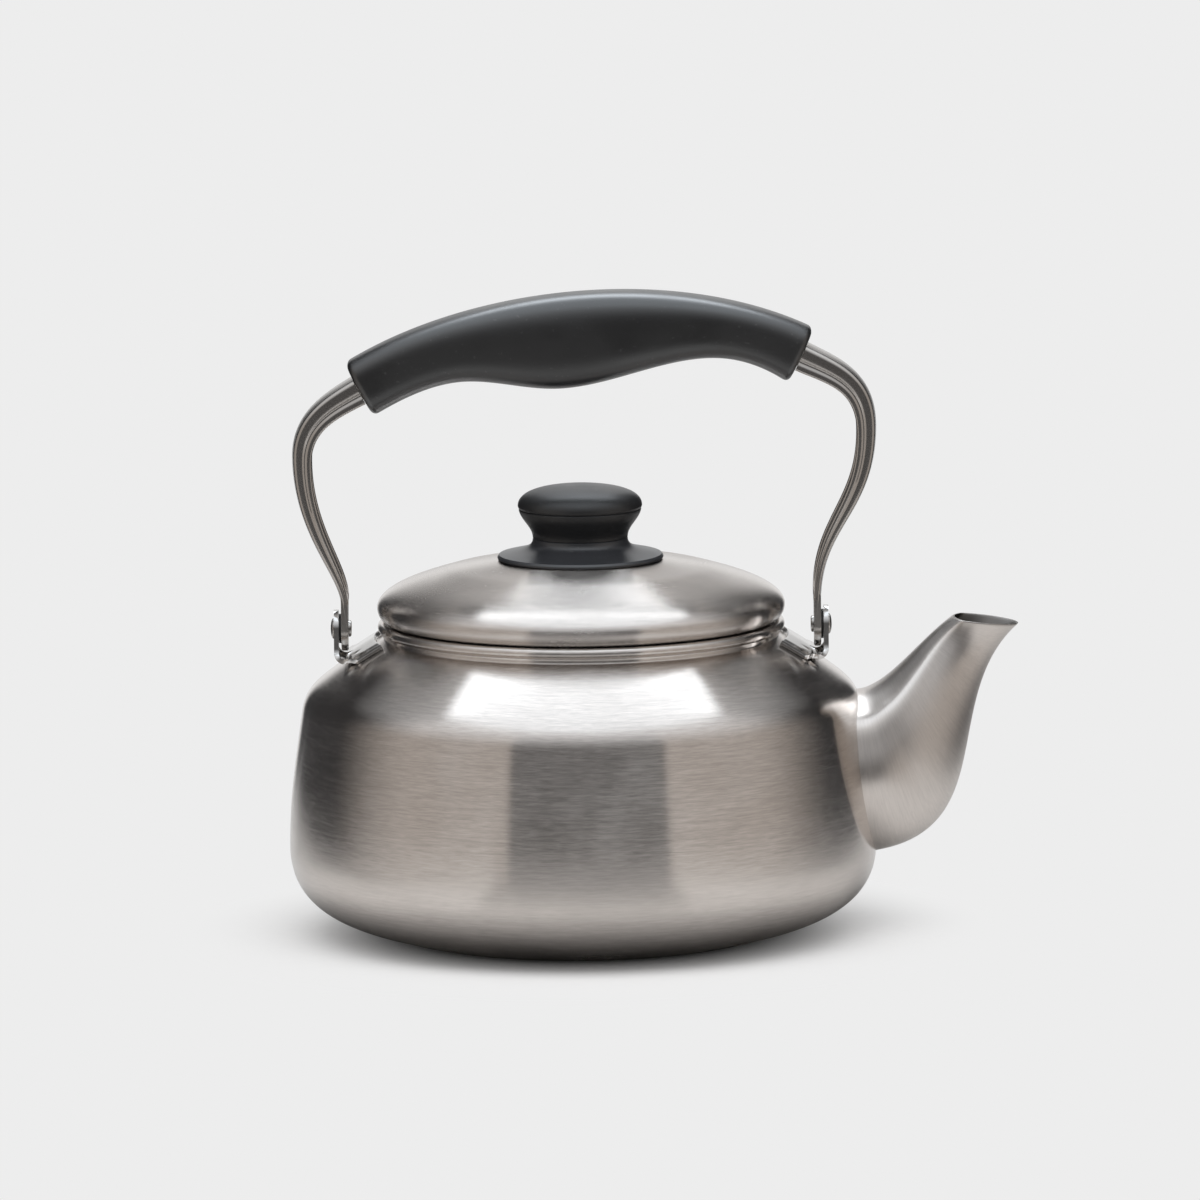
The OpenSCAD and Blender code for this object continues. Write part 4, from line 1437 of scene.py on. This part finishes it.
@dataclass
class Lid(Assembly):
    """The domed lid with its curled edge."""

    low: float = 108.56
    radius: float = 69.5
    roll_h: float = 4.3
    curl_in: float = 2.0
    dome_edge: Pair = (54.0, 123.05)
    dome_pulls: Pair = (4.5, 8.0)
    slope_radii: Tuple[float, ...] = (27.0, 41.5, 45.5, 54.0)
    slopes: Tuple[float, ...] = (9.3, 9.3, 15.5, 17.5)
    seat_r: float = 27.0
    hole_r: float = 2.8
    wall: float = 1.0

    def dome_line(self) -> Array:
        """Outer face of the dome from its edge in to the seat: a cone inside a rounder ring.

        Returns:
            Rows of radius and height.
        """
        radii = np.linspace(self.dome_edge[0], self.seat_r, 55)
        slopes = np.tan(np.radians(np.interp(radii, self.slope_radii, self.slopes)))
        rises = (slopes[1:] + slopes[:-1]) / 2 * -np.diff(radii)
        heights = self.dome_edge[1] + np.concatenate([[0], np.cumsum(rises)])
        return np.stack([radii, heights], axis=1)

    def profile(self) -> Array:
        """Section of the lid's sheet.

        Returns:
            Rows of radius and height.
        """
        curl = np.array([self.radius - self.curl_in, self.low])
        side = np.array([self.radius, self.low + self.roll_h])
        dome = self.dome_line()
        seat_z = float(dome[-1][1])
        outer = np.concatenate([
            bezier([curl, curl + (1.1, 0.8), side - (0, 2), side], shares_of(17)),
            curve(side, 90, self.dome_edge, 180 - self.slopes[-1], self.dome_pulls,
                  steps_of(30)),
            dome[1:],
        ])
        inner = inset(outer, self.wall)
        hem = arc((outer[0] + inner[0]) / 2, self.wall / 2, 126, 306, 6)[1:-1]
        flat = [(self.seat_r - 0.5, seat_z), (self.hole_r, seat_z),
                (self.hole_r, seat_z - self.wall)]
        return np.concatenate([outer, flat, inner[::-1], hem])

    def build(self) -> None:
        """Makes the lid."""
        lid = turned("lid_dome", self.profile(), around=224, looped=True)
        self.finishes.fit(lid, Body.LID, Slot.BRUSHED, Coat.LID, "lid_shell")


@dataclass
class Knob(Assembly):
    """The knob's flange, stalk and dome, stacked on the lid's seat."""

    seat: float = 129.17
    hole_r: float = 2.8
    flange_r: float = 28.3
    bead_r: float = 0.62
    waist_r: float = 16.2
    knob_r: float = 21.2
    waist_h: float = 7.0
    body_h: float = 9.9
    cap_h: float = 8.0
    joint: float = 0.25
    steps: int = 28

    @property
    def waist(self) -> float:
        """Height of the joint between flange and stalk."""
        return self.seat + self.waist_h

    @property
    def cap(self) -> float:
        """Height of the joint between stalk and dome."""
        return self.seat + self.waist_h + self.body_h

    def flange(self) -> Array:
        """Section of the flange, with a turned bead round its foot.

        Returns:
            Rows of radius and height.
        """
        seat, waist = self.seat, self.waist
        rim = np.array([self.flange_r - 0.6, seat + 1.3])
        return np.concatenate([
            [(self.hole_r, seat), (self.flange_r - 1.6, seat),
             (self.flange_r - 1.4, seat - 0.45)],
            arc((self.flange_r - self.bead_r, seat + 0.32), self.bead_r, -125, 55, 10),
            bezier([rim, rim + (-8, 1.8), (self.waist_r, waist - 3.4),
                    (self.waist_r, waist - self.joint)], shares_of(self.steps)),
            [(self.waist_r - self.joint, waist), (self.hole_r, waist)],
        ])

    def stalk(self) -> Array:
        """Section of the stalk, which widens from the waist to the dome.

        Returns:
            Rows of radius and height.
        """
        waist, edge = self.waist, np.array([self.knob_r - 0.3, self.cap])
        return np.concatenate([
            [(self.hole_r, waist), (self.waist_r - self.joint, waist)],
            bezier([(self.waist_r, waist + self.joint), (self.waist_r, waist + 3.6),
                    edge - (0.6, 3.6), edge - (0.02, 0.3)], shares_of(self.steps)),
            [edge - (0.3, 0), (self.hole_r, self.cap)],
        ])

    def dome(self) -> Array:
        """Section of the dome that caps the knob.

        Returns:
            Rows of radius and height.
        """
        edge = np.array([self.knob_r - 0.3, self.cap])
        widest, pole = np.array([self.knob_r, self.cap + 1]), np.array([0, self.cap + self.cap_h])
        return np.concatenate([
            [(0, self.cap), edge - (0.3, 0), edge + (0.02, self.joint)],
            bezier([widest, widest + (0, 6), pole + (9, 0), pole], shares_of(36)),
        ])

    def build(self) -> None:
        """Makes the three pieces."""
        for name, line, node, coat in (("knob_flange", self.flange(), "knob_base", Coat.FLANGE),
                                       ("knob_stalk", self.stalk(), "knob_body", Coat.KNOB),
                                       ("knob_dome", self.dome(), "knob_cap", Coat.KNOB)):
            piece = turned(name, line, around=128, looped=line[0][0] > 0)
            self.finishes.fit(piece, Body.LID, Slot.PLASTIC, coat, node)


@dataclass
class KeptNodes(Assembly):
    """The CAD nodes that stay in view as they are."""

    def build(self) -> None:
        """Gives each node its material."""
        for coat, names in (
                (Coat.ALUMINIUM, ["base_disc"]), (Coat.NYLON, ["washer_left", "washer_right"]),
                (Coat.BRIGHT, ["grip_screw_left", "grip_screw_right", "lid_skirt"]),
                (Coat.BRASS, ["knob_insert"]), (Coat.BRIGHT, ["knob_screw", "knob_washer"])):
            for name in names:
                self.finishes.dress(name, coat)


# The stage


def sheet_of(name: str, outline: Sequence[Pair], place: Triple, made: Material) -> Piece:
    """A flat stage piece of one face.

    Args:
        name: Its name.
        outline: Corners of the face.
        place: Its origin.
        made: Its material.

    Returns:
        The piece.
    """
    mesh = bpy.data.meshes.new(name)
    mesh.from_pydata([(x, y, 0) for x, y in outline], [], [tuple(range(len(outline)))])
    mesh.materials.append(made)
    sheet = shown(name, mesh)
    sheet.location = place
    return sheet


@dataclass
class Floor:
    """Floor that keeps the kettle's shadow and fades to the plain backdrop."""

    pale: float
    half: float = 30.0
    drop: float = 0.00005
    fade: Pair = (0.056, 0.14)
    side_end: Pair = (0.2, 0.36)
    far_end: Pair = (0.3, 0.5)
    grain_scale: float = 180.0
    greys: Pair = (0.9, 0.925)
    # Painted shade that only mirrored rays see on the paper, ahead of the kettle and near it
    ahead_slopes: Pair = (0.62, 0.5)
    ahead_reach: Pair = (0.12, 0.16)
    ahead_shade: float = 0.3
    near_reach: Pair = (0.085, 0.135)
    near_shade: float = 0.62

    def paper(self) -> Material:
        """Makes the paper's material.

        Returns:
            A material whose mirrored image is open past its ends and has painted shade near the
            kettle and ahead of it.
        """
        made, g = new_material("floor_paper", bare=True)
        place = g.add("TexCoord").outputs["Object"]
        reach = g.add("VectorMath", {0: place}, operation="LENGTH").outputs["Value"]
        x, y, _ = g.add("SeparateXYZ", {0: place}).outputs
        aside = g.math("ABSOLUTE", x)
        path = g.add("LightPath").outputs
        mirrored = path["Is Glossy Ray"]
        seen = g.math("MAXIMUM", path["Is Camera Ray"], path["Is Transmission Ray"])
        plain = g.times(g.ramp(reach, *self.fade), seen)
        past = g.math("MAXIMUM", g.ramp(aside, *self.side_end),
                      g.ramp(g.math("ABSOLUTE", y), *self.far_end))
        grain = g.noise(place, self.grain_scale, 3.0)
        tint = g.blend(g.ramp(grain, 0.3, 0.7), *(rgba((grey,) * 3) for grey in self.greys))
        # Painted shade: mirrored rays find the paper darker under the belly, for the kettle's
        # shadow, and straight ahead of it
        slope = g.math("DIVIDE", aside, g.math("MAXIMUM", g.times(y, -1), 0.01))
        ahead = g.times(g.ramp(slope, *self.ahead_slopes),
                        g.ramp(reach, *self.ahead_reach, 0, self.ahead_shade))
        near = g.ramp(reach, *self.near_reach, self.near_shade, 0)
        tint = g.blend(g.times(g.math("MAXIMUM", ahead, near), mirrored), tint, rgba((0, 0, 0)))
        paper = g.add("BsdfDiffuse", {"Color": tint}).outputs[0]
        lit = g.mixed(plain, paper, g.glow(rgba((1, 1, 1)), self.pale))
        under = g.math("MAXIMUM", g.add("NewGeometry").outputs["Backfacing"],
                       g.times(past, mirrored))
        g.add("OutputMaterial", {"Surface": g.mixed(under, lit, g.clear())})
        return made

    def build(self) -> None:
        """Makes the floor."""
        corners = [(-self.half, -self.half), (self.half, -self.half),
                   (self.half, self.half), (-self.half, self.half)]
        sheet_of("floor", corners, (0, 0, -self.drop), self.paper())


@dataclass
class Softbox:
    """Overhead softbox, rounded in front and tapered behind, that only mirrored rays see."""

    colour: Colour = (1.37, 1.47, 1.57)
    radiance: float = 1.0
    far_gain: float = 3.7
    height: float = 0.9
    shift: float = 0.006
    rows: Triple = (-0.62, 0.1, 1.02)
    half: float = 0.48
    margin: float = 1.15
    far_half: float = 0.06
    taper_to: float = 0.02
    soft_edge: Pair = (0.94, 1.14)
    far_fade: float = 0.3
    lift_run: Pair = (0.04, 0.32)
    fall_run: Pair = (0.4, 0.8)
    fall_to: float = 0.45

    def outline(self) -> list:
        """Corners of the mesh, which reaches just past the soft edge of its cloth.

        Returns:
            Rows of x and y.
        """
        near, waist, far = self.rows
        wide = self.margin * self.half
        front = [(wide * abs(math.cos(a)) * (1 if a < math.pi / 2 else -1),
                  self.margin * near * math.sin(a)) for a in np.linspace(0, math.pi, 17)]
        return [(-self.far_half, far), (-wide, waist), *front[::-1], (wide, waist),
                (self.far_half, far)]

    def cloth(self) -> Material:
        """Makes the cloth's material: dim in front, bright behind, clear past its edge.

        Returns:
            The material.
        """
        near, waist, far = self.rows
        made, g = new_material("softbox_cloth", bare=True)
        across, y, _ = g.add("SeparateXYZ", {
            0: g.add("TexCoord").outputs["Object"]}).outputs
        x = g.math("DIVIDE", g.math("ABSOLUTE", across), self.half)
        past_front = g.math("MAXIMUM", g.math("DIVIDE", y, near), 0.0)
        squares = g.math("ADD", g.math("POWER", x, 2.0), g.math("POWER", past_front, 2.0))
        taper = g.ramp(y, waist, far, 1.0, self.taper_to, smooth=False)
        edge = g.math("MAXIMUM", g.math("POWER", squares, 0.5), g.math("DIVIDE", x, taper))
        gone = g.math("MAXIMUM", g.ramp(edge, *self.soft_edge),
                      g.ramp(y, far - self.far_fade, far))
        lift = g.ramp(y, *(waist + run for run in self.lift_run), self.radiance,
                      self.radiance * self.far_gain)
        fall = g.ramp(y, *(waist + run for run in self.fall_run), 1, self.fall_to)
        cloth = g.glow(rgba(self.colour), g.times(lift, fall))
        g.add("OutputMaterial", {"Surface": g.mixed(gone, cloth, g.clear())})
        return made

    def build(self) -> None:
        """Makes the softbox."""
        box = sheet_of("softbox", self.outline(), (self.shift, 0, self.height), self.cloth())
        box.visible_camera = box.visible_diffuse = False
        box.visible_transmission = box.visible_shadow = False


@dataclass(frozen=True)
class Wall:
    """A part of the surroundings that brightens with height."""

    rise: Pair
    low: Colour
    high: Colour = (1.0, 1.03, 1.07)

    def colour(self, g: Graph, height: Socket) -> Socket:
        """Colour at a height, from -1 to 1."""
        return g.blend(g.ramp(height, *self.rise, smooth=False), rgba(self.low), rgba(self.high))


@dataclass
class Studio:
    """Pale floor, an overhead softbox, side panels, the key lamp and the camera."""

    pale: float = 0.847
    fill: float = 0.36
    front: Wall = Wall((0.17, 0.8), (0.11, 0.108, 0.108))
    panel: Wall = Wall((0.25, 0.8), (0.5, 0.465, 0.435))
    corner: Wall = Wall((0.5, 0.85), (0.045, 0.045, 0.047), (0.6, 0.62, 0.64))
    left_panel: Pair = (-27.5, -31.5)
    right_panel: Pair = (32.0, 36.0)
    corner_turn: Pair = (72.0, 122.0)
    back_turn: Pair = (162.0, 171.0)
    key: Triple = (0.0, -0.55, 1.0)
    key_size: Pair = (1.3, 0.9)
    key_radiance: float = 2.75
    elevation: float = 8.43
    roll: float = 0.6
    distance: float = 5.0
    frame_width: float = 0.4089
    sensor: float = 36.0
    clip_end: float = 60.0
    aim: Triple = (0.0065, 0.0, 0.11435)

    def build(self) -> None:
        """Makes the floor, the lights and the camera."""
        Floor(self.pale).build()
        self.world()
        self.key_lamp()
        Softbox().build()
        self.camera()

    def world(self) -> None:
        """Surroundings: a dark front, side panels, dark corners and a pale background behind."""
        world = bpy.data.worlds.new("studio")
        bpy.context.scene.world = world
        world.use_nodes = True
        world.node_tree.nodes.clear()
        g = Graph(world.node_tree)
        way = g.add("TexCoord").outputs["Generated"]
        x, y, z = g.add("SeparateXYZ", {0: way}).outputs
        angle = g.times(g.math("ARCTAN2", x, g.times(y, -1)), 180 / math.pi)
        turn = g.math("ABSOLUTE", angle)
        back, fill = rgba((self.pale,) * 3), rgba((self.fill,) * 3)
        sides = g.math("ADD", g.ramp(angle, *self.left_panel), g.ramp(angle, *self.right_panel))
        colour = g.blend(sides, self.front.colour(g, z), self.panel.colour(g, z))
        colour = g.blend(g.ramp(turn, *self.corner_turn), colour, self.corner.colour(g, z))
        path = g.add("LightPath").outputs
        for share, other in ((g.ramp(turn, *self.back_turn), back), (path["Is Diffuse Ray"], fill),
                             (path["Is Camera Ray"], back), (path["Is Transmission Ray"], back)):
            colour = g.blend(share, colour, other)
        shade = g.add("Background", {"Color": colour, "Strength": 1.0}).outputs[0]
        g.add("OutputWorld", {"Surface": shade})

    def key_lamp(self) -> None:
        """The lamp that casts the shadow, an area light of even radiance."""
        light = bpy.data.lights.new("key", "AREA")
        light.shape = "RECTANGLE"
        light.size, light.size_y = self.key_size
        light.energy = self.key_radiance * math.pi * self.key_size[0] * self.key_size[1]
        lamp = shown("key", light)
        lamp.location = self.key
        lamp.rotation_euler = Vector(self.key).to_track_quat("Z", "Y").to_euler()
        lamp.visible_camera = lamp.visible_glossy = False

    def camera(self) -> None:
        """The camera, a little above the rim and far off."""
        data = bpy.data.cameras.new("camera")
        data.sensor_width = self.sensor
        data.lens = data.sensor_width * self.distance / self.frame_width
        data.clip_end = self.clip_end
        camera = shown("camera", data)
        lean = math.radians(self.elevation)
        back = Vector((0, -math.cos(lean), math.sin(lean)))
        camera.location = Vector(self.aim) + back * self.distance
        turn = (-back).to_track_quat("-Z", "Y").to_matrix().to_4x4()
        turn = turn @ Matrix.Rotation(math.radians(-self.roll), 4, "Z")
        camera.rotation_euler = turn.to_euler()
        bpy.context.scene.camera = camera


def main() -> None:
    """Builds every sub-assembly in order."""
    logging.basicConfig(level=logging.INFO, format="%(message)s")
    bpy.context.scene.view_settings.view_transform = "Standard"
    finishes = Finishes(Effects())
    Studio().build()
    body = KettleBody(finishes)
    body.build()
    Spout(finishes, body).build()
    pivots = Pivots(body)
    for side in Side:
        Lug(finishes, pivots, side).build()
    grip = Grip(finishes, pivots)
    Stem(finishes, pivots, Side.LEFT, bulge=(94.4, 58.2), pulls=(20, 25, 13),
         end=(-grip.left[0], grip.left[1]), tilt=grip.left_tilt).build()
    Stem(finishes, pivots, Side.RIGHT, bulge=(97.7, 67.0), pulls=(35, 27.5, 17),
         end=grip.right, tilt=grip.right_tilt).build()
    grip.build()
    for last in (Lid, Knob, KeptNodes):
        last(finishes).build()


if __name__ == "__main__":
    main()
